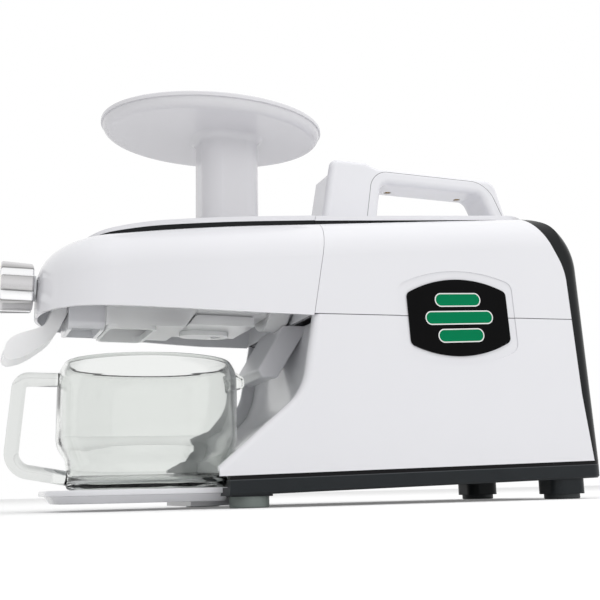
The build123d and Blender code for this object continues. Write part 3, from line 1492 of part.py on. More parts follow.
def bell(x_open, x_end):
    """Motor end bell: a cup whose wall stands at x_end, with cooling windows."""
    low, high = min(x_open, x_end), max(x_open, x_end)
    outward = 1 if x_end > x_open else -1
    with BuildPart() as cup:
        add(cylinder_x(low, high - low, stator_radius, z=motor_z))
        inner = low if outward > 0 else low + bell_wall
        depth = high - low - bell_wall
        add(cylinder_x(inner, depth, stator_radius - bell_wall, z=motor_z), mode=Mode.SUBTRACT)
        boss = x_end - outward * (bell_wall + motor_bearing_width)
        add(cylinder_x(min(boss, x_end), abs(x_end - boss), motor_bearing_outer + boss_wall, z=motor_z))
        add(cylinder_x(low - 1, high - low + 2, motor_shaft_radius + 1, z=motor_z), mode=Mode.SUBTRACT)
        seat_x = min(boss, boss + outward * motor_bearing_width)
        add(cylinder_x(seat_x, motor_bearing_width, motor_bearing_outer, z=motor_z), mode=Mode.SUBTRACT)
        with BuildSketch(across(min(x_end, x_end - outward * (bell_wall + 1)) - 1, z=motor_z)):
            with PolarLocations(window_circle, windows, start_angle=30):
                Circle(window_radius)
        extrude(amount=bell_wall + 3, mode=Mode.SUBTRACT)
    return cup.part


def make_motor():
    stator_end = stator_x + stator_length
    with BuildPart() as motor_stator:
        with BuildSketch(across(stator_x, z=motor_z)):
            Circle(stator_radius)
            Circle(rotor_radius + air_gap, mode=Mode.SUBTRACT)
            with PolarLocations(rotor_radius + air_gap + slot_depth / 2, stator_slots):
                Rectangle(slot_depth + 1, slot_width, mode=Mode.SUBTRACT)
        extrude(amount=stator_length)
    motor_stator.part.label = "motor_stator"
    export_step(motor_stator.part, "parts/motor_stator.step")

    with BuildPart() as motor_windings:
        for x in (stator_x - winding_length, stator_end):
            add(cylinder_x(x, winding_length, winding_outer, z=motor_z, bore=winding_inner))
        fillet(motor_windings.edges().filter_by(GeomType.CIRCLE), 2.5)
    motor_windings.part.label = "motor_windings"
    export_step(motor_windings.part, "parts/motor_windings.step")

    with BuildPart() as motor_rotor:
        add(cylinder_x(stator_x, stator_length, rotor_radius, z=motor_z, bore=motor_shaft_radius))
    motor_rotor.part.label = "motor_rotor"
    export_step(motor_rotor.part, "parts/motor_rotor.step")

    with BuildPart() as motor_shaft:
        shaft_x = first_stage_x - 2
        add(cylinder_x(shaft_x, fan_x + fan_width + 3 - shaft_x, motor_shaft_radius, z=motor_z))
    motor_shaft.part.label = "motor_shaft"
    export_step(motor_shaft.part, "parts/motor_shaft.step")

    with BuildPart() as motor_front_bell:
        add(bell(stator_x, bell_front_x - bell_wall))
    motor_front_bell.part.label = "motor_front_bell"
    export_step(motor_front_bell.part, "parts/motor_front_bell.step")

    with BuildPart() as motor_rear_bell:
        add(bell(stator_end, bell_rear_x + bell_wall))
    motor_rear_bell.part.label = "motor_rear_bell"
    export_step(motor_rear_bell.part, "parts/motor_rear_bell.step")

    with BuildPart() as motor_bearings:
        for x in (bell_front_x, bell_rear_x - motor_bearing_width):
            bore = motor_shaft_radius + bearing_gap
            add(cylinder_x(x, motor_bearing_width, motor_bearing_outer, z=motor_z, bore=bore))
    motor_bearings.part.label = "motor_bearings"
    export_step(motor_bearings.part, "parts/motor_bearings.step")

    with BuildPart() as cooling_fan:
        add(cylinder_x(fan_x, fan_width, fan_hub_radius, z=motor_z))
        add(cylinder_x(fan_x, fan_disc, fan_disc_radius, z=motor_z))
        with BuildSketch(across(fan_x, z=motor_z)):
            with PolarLocations(blade_middle, fan_blades):
                Rectangle(blade_length, blade_thickness, rotation=blade_twist)
        extrude(amount=fan_width)
        add(cylinder_x(fan_x - 1, fan_width + 2, motor_shaft_radius, z=motor_z), mode=Mode.SUBTRACT)
    cooling_fan.part.label = "cooling_fan"
    export_step(cooling_fan.part, "parts/cooling_fan.step")

    with BuildPart() as motor_cradle:
        with BuildSketch(Plane.XY.offset(base_floor())):
            with Locations((stator_x + stator_length / 2, 0)):
                Rectangle(stator_length - 2 * cradle_inset, cradle_width)
        extrude(amount=motor_z - stator_radius + cradle_wrap - base_floor())
        add(cylinder_x(stator_x, stator_length, stator_radius, z=motor_z), mode=Mode.SUBTRACT)
    motor_cradle.part.label = "motor_cradle"
    export_step(motor_cradle.part, "parts/motor_cradle.step")


# ---------------------------------------------------------------- electrics
def make_electrics():
    floor = base_floor()
    with BuildPart() as run_capacitor:
        can_z = floor + capacitor_radius
        add(cylinder_x(capacitor_x, capacitor_length, capacitor_radius, capacitor_y, can_z))
        fillet(run_capacitor.edges(), 1.5)
    run_capacitor.part.label = "run_capacitor"
    export_step(run_capacitor.part, "parts/run_capacitor.step")

    board_high = floor + board_standoff
    with BuildPart() as control_board:
        with BuildSketch(Plane.XY.offset(board_high)):
            with Locations((board_x, board_y)):
                Rectangle(board_length, board_width)
        extrude(amount=board_thickness)
        with BuildSketch(Plane.XY.offset(floor)):
            with Locations((board_x, board_y)):
                with GridLocations(board_length - 2 * post_inset, board_width - 2 * post_inset, 2, 2):
                    Circle(post_radius)
        extrude(amount=board_standoff)
        with BuildSketch(Plane.XY.offset(board_high + board_thickness)):
            with Locations((board_x - relay_length, board_y - relay_height / 2)):
                Rectangle(relay_length, relay_height)
            with Locations((board_x + relay_length, board_y + relay_height / 2)):
                Rectangle(relay_height, relay_length)
        extrude(amount=relay_height)
    control_board.part.label = "control_board"
    export_step(control_board.part, "parts/control_board.step")

    inner_face = rear_plane(inlet_z) - wall - 0.1
    with BuildPart() as cord_gland:
        outward = (cos(radians(rear_lean)), 0, sin(radians(rear_lean)))
        with BuildSketch(Plane(origin=(inner_face, 0, inlet_z), x_dir=(0, 1, 0), z_dir=outward)):
            Circle(inlet_radius + 3)
        extrude(amount=-3)
        add(cylinder_x(inner_face - 5, rear_x - 0.5 - inner_face + 5, inlet_radius, z=inlet_z))
        add(cylinder_x(inner_face - 10, 40, 4, z=inlet_z), mode=Mode.SUBTRACT)
    cord_gland.part.label = "cord_gland"
    export_step(cord_gland.part, "parts/cord_gland.step")


# ---------------------------------------------------------------- neck cover
def make_neck_cover():
    with BuildPart() as neck_cover:
        with BuildSketch(Plane.XZ):
            with BuildLine():
                front = FilletPolyline(
                    (neck_cover_x, seam_z + 2),
                    (neck_cover_front_x, neck_cover_low + 6),
                    (neck_cover_front_x + 4, neck_cover_low),
                    (neck_cover_rear_x, neck_cover_low),
                    (neck_cover_rear_x + 26, seam_z - 2),
                    radius=[3, 4, 4],
                )
                Polyline(front @ 1, (neck_cover_rear_x + 26, seam_z + 2), front @ 0)
            make_face()
        extrude(amount=neck_cover_half, both=True)
        rims = neck_cover.edges().filter_by(
            lambda e: abs(abs(e.center().Y) - neck_cover_half) < 0.01 and e.center().Z < seam_z
        )
        fillet(rims, 2.0)
        add(below_seam(), mode=Mode.INTERSECT)
        add(lower_form(bay_depth), mode=Mode.SUBTRACT)
        around = neck_radius + sleeve_wall + fit
        start = neck_cover_front_x - overrun
        add(cylinder_x(start, 5 * overrun, around, shaft_y, shaft_z), mode=Mode.SUBTRACT)
    neck_cover.part.label = "neck_cover"
    export_step(neck_cover.part, "parts/neck_cover.step")


# ---------------------------------------------------------------- feet and fasteners
def foot_places():
    """Centre and pad height of each foot."""
    places = []
    for x, pad in ((front_foot_x, front_pad), (rear_foot_x, rear_pad)):
        for y in (foot_y, -foot_y):
            places.append((x, y, pad))
    return places


def make_feet():
    with BuildPart() as foot_blocks:
        for x, y, pad in foot_places():
            with BuildSketch(Plane.XY.offset(pad)):
                with Locations((x, y)):
                    RectangleRounded(2 * foot_radius, 2 * foot_radius, 9)
            extrude(amount=band_low(x + foot_radius) - pad)
        add(over_line(band_low), mode=Mode.SUBTRACT)
        for x, y, pad in foot_places():
            if pad == rear_pad:
                with BuildSketch(Plane.XY.offset(pad)):
                    with Locations((x, y)):
                        with GridLocations(6.4, 0, 4, 1):
                            Rectangle(3.4, 2 * foot_radius - 6)
                extrude(amount=band_low(x) - pad - 3, mode=Mode.SUBTRACT)
    foot_blocks.part.label = "foot_blocks"
    export_step(foot_blocks.part, "parts/foot_blocks.step")

    with BuildPart() as foot_pads:
        for x, y, pad in foot_places():
            with BuildSketch(Plane.XY):
                with Locations((x, y)):
                    Circle(foot_radius - 1)
            extrude(amount=pad)
        low = foot_pads.edges().filter_by(lambda e: e.center().Z < 0.1)
        fillet(low, 1.2)
    foot_pads.part.label = "foot_pads"
    export_step(foot_pads.part, "parts/foot_pads.step")


make_lower_housing()
make_upper_housing()
make_rear_panel()
make_base_plate()
make_front_wall()
make_body_trim()
make_body_deck()
make_hood_shell()
make_hood_trim()
make_hood_deck()
make_handle_shells()
make_switch_housing()
make_power_rocker()
make_badge_plates()
make_juicing_housing()
make_juice_strainer()
make_screen_latch()
make_juicing_gears()
make_end_cap()
make_outlet_nozzle()
make_adjusting_knob()
make_knob_stem()
make_pulp_chute()
make_hopper_tray()
make_glass_pitcher()
make_drip_tray()
make_gearbox()
make_drive_line()
make_motor()
make_electrics()
make_neck_cover()
make_feet()
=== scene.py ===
"""Looks of a twin-gear cold press juicer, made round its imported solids.

Laid out as an add-on: one operator dresses the solids, two model pieces that
take their place, and the last one builds the stage. The frame is that of the
solids, in metres: +X runs from the adjusting knob to the rear panel, +Z is up.
"""

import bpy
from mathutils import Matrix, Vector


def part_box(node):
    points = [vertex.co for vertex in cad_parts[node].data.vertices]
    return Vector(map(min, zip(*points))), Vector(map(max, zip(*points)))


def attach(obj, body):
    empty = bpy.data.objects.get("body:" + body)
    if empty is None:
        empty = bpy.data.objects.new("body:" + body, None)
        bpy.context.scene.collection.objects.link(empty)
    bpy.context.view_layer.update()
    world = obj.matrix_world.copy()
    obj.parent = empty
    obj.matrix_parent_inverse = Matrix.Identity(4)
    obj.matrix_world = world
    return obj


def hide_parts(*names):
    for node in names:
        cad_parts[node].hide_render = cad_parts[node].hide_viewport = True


bl_info = {
    "name": "Cold Press Juicer",
    "version": (1, 0, 0),
    "blender": (4, 5, 0),
    "location": "3D View > Sidebar > Juicer",
    "description": "Finishes, details and stage of a twin-gear cold press juicer",
    "category": "Object",
}

from functools import reduce
from math import cos, radians, sin, tan

import bmesh
import bpy
from mathutils import Matrix, Vector

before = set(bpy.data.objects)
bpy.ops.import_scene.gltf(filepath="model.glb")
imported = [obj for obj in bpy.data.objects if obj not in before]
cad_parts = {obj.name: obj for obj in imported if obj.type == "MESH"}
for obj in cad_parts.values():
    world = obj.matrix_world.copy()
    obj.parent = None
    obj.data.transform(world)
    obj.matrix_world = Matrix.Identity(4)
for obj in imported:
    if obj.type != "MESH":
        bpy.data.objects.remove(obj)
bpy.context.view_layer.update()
MM = 0.001

# ---------------------------------------------------------------- lines and marks
SEAM_X, SEAM_Z = -15.6 * MM, 142.0 * MM         # a point of the housings' seam
SEAM_SLOPE = tan(radians(1.4))                  # the base's upper edge has it too
SEAM_COLOUR = (0.10, 0.10, 0.11)

BADGE_X, BADGE_Z, BADGE_TILT = 109.0 * MM, 144.3 * MM, radians(3.3)
BAR_RADIUS, BAR_OUTLINE = 5.6 * MM, 0.9 * MM
BADGE_BARS = (                                  # height over the middle, half length
    (14.5 * MM, 21.0 * MM), (0.0, 31.0 * MM), (-14.5 * MM, 21.0 * MM),
)

BAND_X, BAND_TOP = -83.0 * MM, 22.6 * MM        # a point of the base's upper edge
POLISHED_BAND = 3.2 * MM                        # height of the strip under that edge
# half width of the painted highlight line along the polished strip's lower edge
PAINTED_HIGHLIGHT_HALF = 0.3 * MM

HANDLE_GAP_TOP = 277.2 * MM
HANDLE_GAP_SIDES = (                            # which way is out, foot and top (x, z)
    (-1.0, (70.6 * MM, 225.0 * MM), (78.7 * MM, HANDLE_GAP_TOP)),
    (1.0, (204.5 * MM, 225.0 * MM), (179.5 * MM, HANDLE_GAP_TOP)),
)
HANDLE_LINE, HANDLE_LINE_BEND = 10.5 * MM, 4.0 * MM     # off the gap, round its corners
HANDLE_LINE_SHARE = 0.8                         # of the seam's width
HANDLE_LINE_COLOUR = (0.20, 0.20, 0.21)

REAR_PADS_X = 60.0 * MM
KNOB_LOBES = 6.0
# Painted reflections of the chrome knob: bright in the flutes, a dark painted line on
# their flanks, grey on the lobes.
KNOB_PAINTED_REFLECTIONS = (                                  # from the flutes to the lobes
    (0.0, (0.95, 0.95, 0.96)), (0.26, (0.90, 0.90, 0.91)), (0.36, (0.20, 0.20, 0.20)),
    (0.46, (0.50, 0.495, 0.495)), (1.0, (0.66, 0.65, 0.66)),
)
STACK_SHEETS = 2000.0                           # laminations in a metre
GRIP_FROM_X = -195.5 * MM                       # solid glass, darker than the walls

# ---------------------------------------------------------------- shades and textures
WHITE_SHADE, BRUSHED_SHADE, GRIP_SHADE = 0.96, 0.82, 0.88
WHITE_COAT, WHITE_GRAIN, COAT_ROUGHNESS = 0.35, 0.02, 0.06
MOTTLE, GLOSS_MOTTLE, GRAIN = 9.0, 60.0, 900.0  # noise features in a metre
FLAT = 2.0                                      # detail of a plain noise
GLOSS_SWING, BRUSHED_SWING = 0.05, 0.18         # how far a pattern moves the roughness
BRUSHED_STRETCH, BRUSHED_RELIEF = 0.04, 0.15
GRAIN_DEPTH, FINE_DEPTH = 0.2 * MM, 0.1 * MM
WIRE_DEPTH, RIPPLE_DEPTH = 0.4 * MM, 3.0 * MM
AXIS_X, AXIS_Y = 0, 1
MIX_FACTOR, MIX_UNDER, MIX_OVER, MIX_RESULT = 0, 6, 7, 2    # colour sockets of Mix

# ---------------------------------------------------------------- pitcher, in mm
PITCHER_X = -124.5
PITCHER_SIDES = 160
PITCHER_PROFILE = (                # radius and height: foot, wall, rim, inside, floor
    (40.0, 15.8), (54.0, 15.6), (57.5, 15.3), (59.8, 16.2), (61.1, 18.2), (61.5, 22.0),
    (61.5, 33.0), (62.2, 37.0), (64.4, 41.0), (67.2, 45.0), (68.9, 49.0), (69.5, 54.0),
    (69.5, 75.0), (69.5, 96.0), (69.1, 101.0), (68.0, 105.5), (66.3, 109.0),
    (64.9, 111.3), (63.8, 112.3), (62.5, 112.4), (61.5, 111.6), (61.8, 109.6),
    (63.6, 106.4), (65.1, 102.4), (66.0, 97.0), (66.1, 75.0), (66.1, 55.0),
    (65.4, 50.5), (63.2, 46.2), (60.6, 42.0), (58.7, 38.0), (58.1, 34.0), (58.1, 26.0),
    (57.4, 22.6), (55.6, 20.4), (52.6, 19.4), (45.0, 19.1), (20.0, 19.0),
)
GRIP_CORNERS = (                   # x, z and bend of the grip's centre line
    (-191.3, 98.0, 0.0), (-221.6, 98.0, 6.5), (-226.6, 31.5, 13.0), (-184.0, 24.0, 0.0),
)
GRIP_HANDLE, GRIP_PULL = 2.0, 0.55              # curve handles: on runs, in bends
GRIP_STEPS, SECTION_STEPS = 16, 10
GRIP_SQUARE = 0.4                               # how far the round section is squared
LUG = ((-58.2, -47.2), (-9.0, 9.0), (93.6, 108.0))
LUG_TOP_FALL, LUG_FOOT_FALL = 6.0, 2.5
LUG_ROUNDING = (3.0, 4)                         # radius and steps

# ---------------------------------------------------------------- drip tray, in mm
TRAY_FRONT, TRAY_REAR, TRAY_HALF = -203.5, -69.0, 66.0
TRAY_RIM, TRAY_RIM_LOW, TRAY_LOW, TRAY_WELL = 15.0, 11.0, 5.4, 7.8
TRAY_FRONT_CORNER, TRAY_REAR_CORNER = (46.0, 18), (11.0, 8)     # radius and steps
TRAY_LEDGE, TRAY_LEDGE_SHRINK = 4.0, (0.93, 0.92, 1.0)
TRAY_TOP_INSETS, TRAY_FLOOR_INSET = (1.0, 7.5), 3.0
TRAY_EDGE_STEPS, TRAY_EDGE_ANGLE = 3, radians(40)
TRAY_TONGUE = ((-100.0, -62.0), (-40.0, 40.0), (1.8, 8.4))

FACING = 0.5                       # a normal's share along Z that counts as facing it
WELD = 1e-6

# ---------------------------------------------------------------- stage
FLOOR_SIZE, FLOOR_LOW = 24.0, 0.2 * MM
FLOOR_COLOUR, FLOOR_LIFT = (0.83, 0.83, 0.83), 0.16
SOFTBOXES = (                      # name, place, target, size and its power's setting
    ("top_softbox", (0.20, -0.30, 1.70), (0.05, 0.0, 0.20), (1.9, 1.3), "top_power"),
    ("front_softbox", (0.75, -1.75, 1.1), (0.10, 0.0, 0.18), (1.4, 1.2), "front_power"),
)
CAMERA_PLACE = (-0.2697, -0.7192, 0.0106)
CAMERA_YAW, CAMERA_PITCH, CAMERA_ROLL = 0.365, 0.205, -0.023
CAMERA_FOCAL, PICTURE_WIDTH = 921.5, 600.0      # in pixels
CAMERA_SENSOR = 36.0
CAMERA_CLIP = (0.01, 60.0)


# ---------------------------------------------------------------- shader maths
class Wire:
    """A shader value. Python's operators on it add Math nodes."""

    def __init__(self, tree, socket):
        self.tree, self.socket = tree, socket

    def math(self, operation, *others):
        """Adds a Math node whose first value is this one."""
        return calculate(self.tree, operation, self, *others)

    def __add__(self, other):
        return self.math("ADD", other)

    def __radd__(self, other):
        return calculate(self.tree, "ADD", other, self)

    def __sub__(self, other):
        return self.math("SUBTRACT", other)

    def __rsub__(self, other):
        return calculate(self.tree, "SUBTRACT", other, self)

    def __mul__(self, other):
        return self.math("MULTIPLY", other)

    def __rmul__(self, other):
        return calculate(self.tree, "MULTIPLY", other, self)

    def __gt__(self, other):
        return self.math("GREATER_THAN", other)

    def __lt__(self, other):
        return self.math("LESS_THAN", other)

    def __abs__(self):
        return self.math("ABSOLUTE")

    def at_least(self, other):
        """The larger of two values."""
        return self.math("MAXIMUM", other)

    def at_most(self, other):
        """The smaller of two values."""
        return self.math("MINIMUM", other)

    def span(self, other):
        """The distance that this offset and one at right angles to it make."""
        return (self * self + other * other).math("SQRT")

    def beside(self, output):
        """Another output of the node that this value comes from."""
        return Wire(self.tree, self.socket.node.outputs[output])


def plug(tree, socket, value):
    """Links a wire to a socket, or sets the socket to a plain value."""
    if isinstance(value, Wire):
        tree.links.new(value.socket, socket)
    else:
        socket.default_value = value


def calculate(tree, operation, *values):
    """Adds a Math node on wires and plain numbers."""
    node = tree.nodes.new("ShaderNodeMath")
    node.operation = operation
    for socket, value in zip(node.inputs, values):
        plug(tree, socket, value)
    return Wire(tree, node.outputs[0])


def set_stops(ramp, stops):
    """Gives a colour ramp its stops, each a place and a colour."""
    while len(ramp.elements) < len(stops):
        ramp.elements.new(0.5)
    for element, (place, colour) in zip(ramp.elements, stops):
        element.position, element.color = place, (*colour, 1.0)


class Graph:
    """A tree of shader nodes."""

    def __init__(self, tree):
        self.tree = tree

    def node(self, kind, sockets=None, settings=None, out=0):
        """Adds a node by its type: first its settings, then its sockets."""
        node = self.tree.nodes.new("ShaderNode" + kind)
        for name, value in (settings or {}).items():
            if name == "stops":
                set_stops(node.color_ramp, value)
            else:
                setattr(node, name, value)
        for key, value in (sockets or {}).items():
            plug(self.tree, node.inputs[key], value)
        return Wire(self.tree, node.outputs[out])


class Finish(Graph):
    """A material round one Principled shader."""

    def __init__(self, name, **constants):
        self.material = bpy.data.materials.new(name)
        self.material.use_nodes = True
        super().__init__(self.material.node_tree)
        self.shader = self.tree.nodes["Principled BSDF"]
        self.set(**constants)

    def set(self, **values):
        """Sets or links the shader's sockets, such as base_color and coat_weight."""
        for name, value in values.items():
            title = name.replace("_", " ").title().replace("Ior", "IOR")
            if title.endswith("Color") and not isinstance(value, Wire):
                value = (*value, 1.0)
            plug(self.tree, self.shader.inputs[title], value)

    def place(self, scale=(1.0, 1.0, 1.0), turn=(0.0, 0.0, 0.0), shift=(0.0, 0.0, 0.0)):
        """Object coordinates, stretched, turned and moved."""
        at = self.node("TexCoord", out="Object")
        mapping = {"Vector": at, "Scale": scale, "Rotation": turn, "Location": shift}
        return self.node("Mapping", mapping)

    def position(self, **mapping):
        """The x, y and z of a point of the piece."""
        x = self.node("SeparateXYZ", {"Vector": self.place(**mapping)})
        return x, x.beside("Y"), x.beside("Z")

    def noise(self, scale, detail=3.0, stretch=(1.0, 1.0, 1.0)):
        """Soft random spots."""
        at = self.place(stretch)
        return self.node("TexNoise", {"Vector": at, "Scale": scale, "Detail": detail})

    def tint(self, amount, under, over):
        """Lays one colour over another by an amount. Either may be a wire."""
        under, over = (c if isinstance(c, Wire) else (*c, 1.0) for c in (under, over))
        return self.node(
            "Mix", {MIX_FACTOR: amount, MIX_UNDER: under, MIX_OVER: over},
            {"data_type": "RGBA"}, MIX_RESULT,
        )

    def bump(self, height, strength, distance=GRAIN_DEPTH):
        """Lets a height bend the surface's normal."""
        relief = {"Height": height, "Strength": strength, "Distance": distance}
        self.set(normal=self.node("Bump", relief))

    def plastic(self, colour, shade, rough, grain=0.0, line=None, line_colour=None):
        """Mottled colour and gloss, with a grain and a drawn line where given."""
        surface = self.tint(self.noise(MOTTLE, FLAT), shade, colour)
        if line is not None:
            surface = self.tint(line, surface, line_colour)
        roughness = rough + (self.noise(GLOSS_MOTTLE) - 0.5) * GLOSS_SWING
        self.set(base_color=surface, roughness=roughness)
        if grain:
            self.bump(self.noise(GRAIN, FLAT), grain)


def scaled(colour, share):
    """A colour made darker, to a share of its strength."""
    return tuple(share * c for c in colour)


# ---------------------------------------------------------------- finishes
FINISHES = {}


def make_finishes(look, seam_width):
    """All materials of the machine, by the names that the pieces ask for."""
    white = {
        "colour": look.white, "shade": scaled(look.white, WHITE_SHADE),
        "rough": look.gloss, "grain": WHITE_GRAIN,
    }
    FINISHES.update(
        white=moulded("white_abs", coat=WHITE_COAT, **white),
        shell=housing_finish(white, seam_width),
        handle=handle_finish(white, seam_width * HANDLE_LINE_SHARE),
        tray=moulded(
            "tray_white", (0.72, 0.715, 0.74), (0.68, 0.675, 0.70), rough=0.26,
            grain=WHITE_GRAIN, coat=0.15,
        ),
        milk=moulded(
            "milky_plastic", (0.90, 0.90, 0.91), (0.86, 0.86, 0.88), rough=0.30,
            grain=WHITE_GRAIN, coat=0.1, subsurface_weight=0.8,
            subsurface_radius=(1.0, 1.0, 1.0), subsurface_scale=0.012,
        ),
        cover=moulded(
            "cover_grey", (0.72, 0.72, 0.75), (0.66, 0.66, 0.69), rough=0.30,
            grain=WHITE_GRAIN, coat=0.1,
        ),
        trim=moulded(
            "trim_black", (0.009, 0.010, 0.011), (0.006, 0.007, 0.008), rough=0.16,
            specular_ior_level=0.16,
        ),
        slate=slate_finish(),
        rear=moulded(
            "rear_black", (0.010, 0.011, 0.012), (0.006, 0.007, 0.008), rough=0.24,
            grain=0.05, specular_ior_level=0.2,
        ),
        badge=badge_finish(look.badge_green),
        rocker=moulded(
            "rocker_red", (0.20, 0.006, 0.010), (0.14, 0.004, 0.007), rough=0.22,
            specular_ior_level=0.25,
        ),
        gear=moulded(
            "gear_plastic", (0.10, 0.105, 0.115), (0.08, 0.083, 0.09), rough=0.32,
            grain=0.05, coat=0.1,
        ),
        rubber=pad_finish(),
        board=board_finish(),
        copper=winding_finish(),
        chrome=chrome_finish(),
        steel=brushed("turned_steel", (0.55, 0.56, 0.58), rough=0.30, along=AXIS_X),
        stack=stack_finish(),
        cast=cast_finish(),
        brass=brushed(
            "screw_brass", (0.58, 0.40, 0.16), rough=0.28, along=AXIS_Y, scale=900.0
        ),
        glass=glass_finish(look.glass),
    )


def coated(name, coat, **more):
    """A finish with a clear coat."""
    return Finish(name, coat_weight=coat, coat_roughness=COAT_ROUGHNESS, **more)


def moulded(name, colour, shade, rough, grain=0.0, coat=0.0, **more):
    """Moulded plastic."""
    finish = coated(name, coat, **more)
    finish.plastic(colour, shade, rough, grain)
    return finish.material


def brushed(name, colour, rough, along, scale=500.0):
    """Machined metal with fine lines along one direction."""
    finish = Finish(name, metallic=1.0)
    stretch = tuple(BRUSHED_STRETCH if axis == along else 1.0 for axis in range(3))
    lines = finish.noise(scale, FLAT, stretch)
    finish.set(
        base_color=finish.tint(lines, scaled(colour, BRUSHED_SHADE), colour),
        roughness=rough + (lines - 0.5) * BRUSHED_SWING,
    )
    finish.bump(lines, BRUSHED_RELIEF, FINE_DEPTH)
    return finish.material


def housing_finish(white, line_width):
    """White plastic of the two housings, with the fine dark line where they meet."""
    finish = coated("housing_abs", WHITE_COAT)
    x, _, z = finish.position()
    away = abs(z - (SEAM_Z + (x - SEAM_X) * SEAM_SLOPE))
    finish.plastic(**white, line=away < line_width / 2, line_colour=SEAM_COLOUR)
    return finish.material


def handle_finish(white, line_width):
    """White plastic of the handle, with the fine line where its grip part is set in."""
    finish = coated("handle_abs", WHITE_COAT)
    x, _, z = finish.position()
    past_sides = []
    for out, foot, top in HANDLE_GAP_SIDES:
        rise = Vector(top) - Vector(foot)
        lean = out * Vector((rise.y, -rise.x)).normalized()
        past_sides.append(x * lean.x + z * lean.y - lean.dot(Vector(top)))
    past = reduce(Wire.at_least, past_sides) + HANDLE_LINE_BEND
    over = z - (HANDLE_GAP_TOP - HANDLE_LINE_BEND)
    outside = past.at_least(0.0).span(over.at_least(0.0)) - HANDLE_LINE_BEND
    line = abs(outside - HANDLE_LINE) < line_width / 2
    finish.plastic(**white, line=line, line_colour=HANDLE_LINE_COLOUR)
    return finish.material


def badge_finish(green):
    """Black badge with three stacked green bars, each with a thin white outline."""
    finish = Finish("badge_bars", specular_ior_level=0.06)
    middle = Matrix.Rotation(BADGE_TILT, 3, "Y") @ Vector((BADGE_X, 0.0, BADGE_Z))
    across, _, up = finish.position(turn=(0.0, BADGE_TILT, 0.0), shift=tuple(-middle))
    bars = []
    for height, half_length in BADGE_BARS:
        past_end = (abs(across) - (half_length - BAR_RADIUS)).at_least(0.0)
        bars.append(past_end.span(up - height))
    nearest = reduce(Wire.at_most, bars)
    cloud = finish.noise(40.0, FLAT)
    black = finish.tint(cloud, (0.0015, 0.0015, 0.0015), (0.003, 0.003, 0.0035))
    outline = finish.tint(nearest < BAR_RADIUS, black, (0.80, 0.81, 0.80))
    finish.set(
        base_color=finish.tint(nearest < BAR_RADIUS - BAR_OUTLINE, outline, green),
        roughness=0.16 + cloud * 0.04,
    )
    return finish.material


def slate_finish():
    """Dark grey base with a darker polished strip along its upper edge, and a painted
    highlight line along the strip's lower edge.
    """
    finish = Finish("slate_base", specular_ior_level=0.14)
    x, _, z = finish.position()
    below = (x - BAND_X) * SEAM_SLOPE + BAND_TOP - z
    polished = below < POLISHED_BAND
    # rim is the painted highlight line along the polished strip's lower edge
    rim = abs(below - POLISHED_BAND) < PAINTED_HIGHLIGHT_HALF
    cloud = finish.noise(30.0)
    band = finish.tint(cloud, (0.015, 0.018, 0.020), (0.022, 0.025, 0.028))
    band = finish.tint(polished, band, (0.004, 0.004, 0.005))
    # the lighter colour below is the painted highlight
    finish.set(
        base_color=finish.tint(rim, band, (0.06, 0.065, 0.07)),
        roughness=0.30 + finish.noise(50.0) * 0.08 - polished * 0.16,
    )
    finish.bump(finish.noise(GRAIN, FLAT), 0.08)
    return finish.material


def pad_finish():
    """Grey-green pads at the front and near-black ones at the rear."""
    finish = Finish("pad_rubber", specular_ior_level=0.3)
    x = finish.position()[0]
    cloud = finish.noise(60.0)
    front = finish.tint(cloud, (0.15, 0.175, 0.165), (0.25, 0.285, 0.27))
    finish.set(
        base_color=finish.tint(x > REAR_PADS_X, front, (0.030, 0.034, 0.036)),
        roughness=0.45 + cloud * 0.1,
    )
    finish.bump(finish.noise(500.0, FLAT), 0.1)
    return finish.material


def chrome_finish():
    """Chrome with painted reflections round its axis: bright flutes, a dark painted
    line on their flanks, grey lobes.
    """
    finish = Finish("knob_chrome", metallic=1.0)
    low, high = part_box("adjusting_knob")
    middle = (Vector(low) + Vector(high)) / 2
    _, y, z = finish.position()
    turn = (z - middle.z).math("ARCTAN2", y - middle.y)
    wave = (turn * KNOB_LOBES).math("COSINE")
    # painted reflections and shade, by the angle round the knob's axis
    painted_reflections = finish.node(
        "ValToRGB", {"Fac": wave * 0.5 + 0.5}, {"stops": KNOB_PAINTED_REFLECTIONS}, "Color"
    )
    wipe = finish.noise(40.0, detail=4.0, stretch=(1.0, 3.0, 3.0))
    finish.set(base_color=painted_reflections, roughness=0.16 + wipe * 0.10)
    finish.bump(finish.noise(400.0), 0.03, FINE_DEPTH)
    return finish.material


def stack_finish():
    """Motor laminations: thin sheets one behind the other along X."""
    finish = Finish("laminated_steel", metallic=0.9)
    x = finish.position()[0]
    edge = (x * STACK_SHEETS).math("FRACT") > 0.5
    finish.set(
        base_color=finish.tint(edge, (0.16, 0.16, 0.17), (0.34, 0.34, 0.36)),
        roughness=0.42 + finish.noise(80.0) * 0.12,
    )
    return finish.material


def cast_finish():
    """Die-cast aluminium with a fine open grain."""
    finish = Finish("cast_aluminium", metallic=0.95)
    grain = finish.noise(700.0, detail=4.0)
    finish.set(
        base_color=finish.tint(grain, (0.46, 0.47, 0.49), (0.60, 0.61, 0.63)),
        roughness=0.42 + grain * 0.14,
    )
    finish.bump(grain, 0.25)
    return finish.material


def winding_finish():
    """Varnished copper wire wound round the motor's axis."""
    finish = Finish("copper_winding", metallic=0.9, coat_weight=0.4, coat_roughness=0.2)
    wires = finish.node(
        "TexWave",
        {"Vector": finish.place(), "Scale": 260.0, "Distortion": 1.5, "Detail": 1.0},
        {"wave_type": "BANDS", "bands_direction": "X"}, "Fac",
    )
    finish.set(
        base_color=finish.tint(wires, (0.24, 0.07, 0.03), (0.62, 0.27, 0.12)),
        roughness=0.30 + wires * 0.1,
    )
    finish.bump(wires, 0.5, WIRE_DEPTH)
    return finish.material


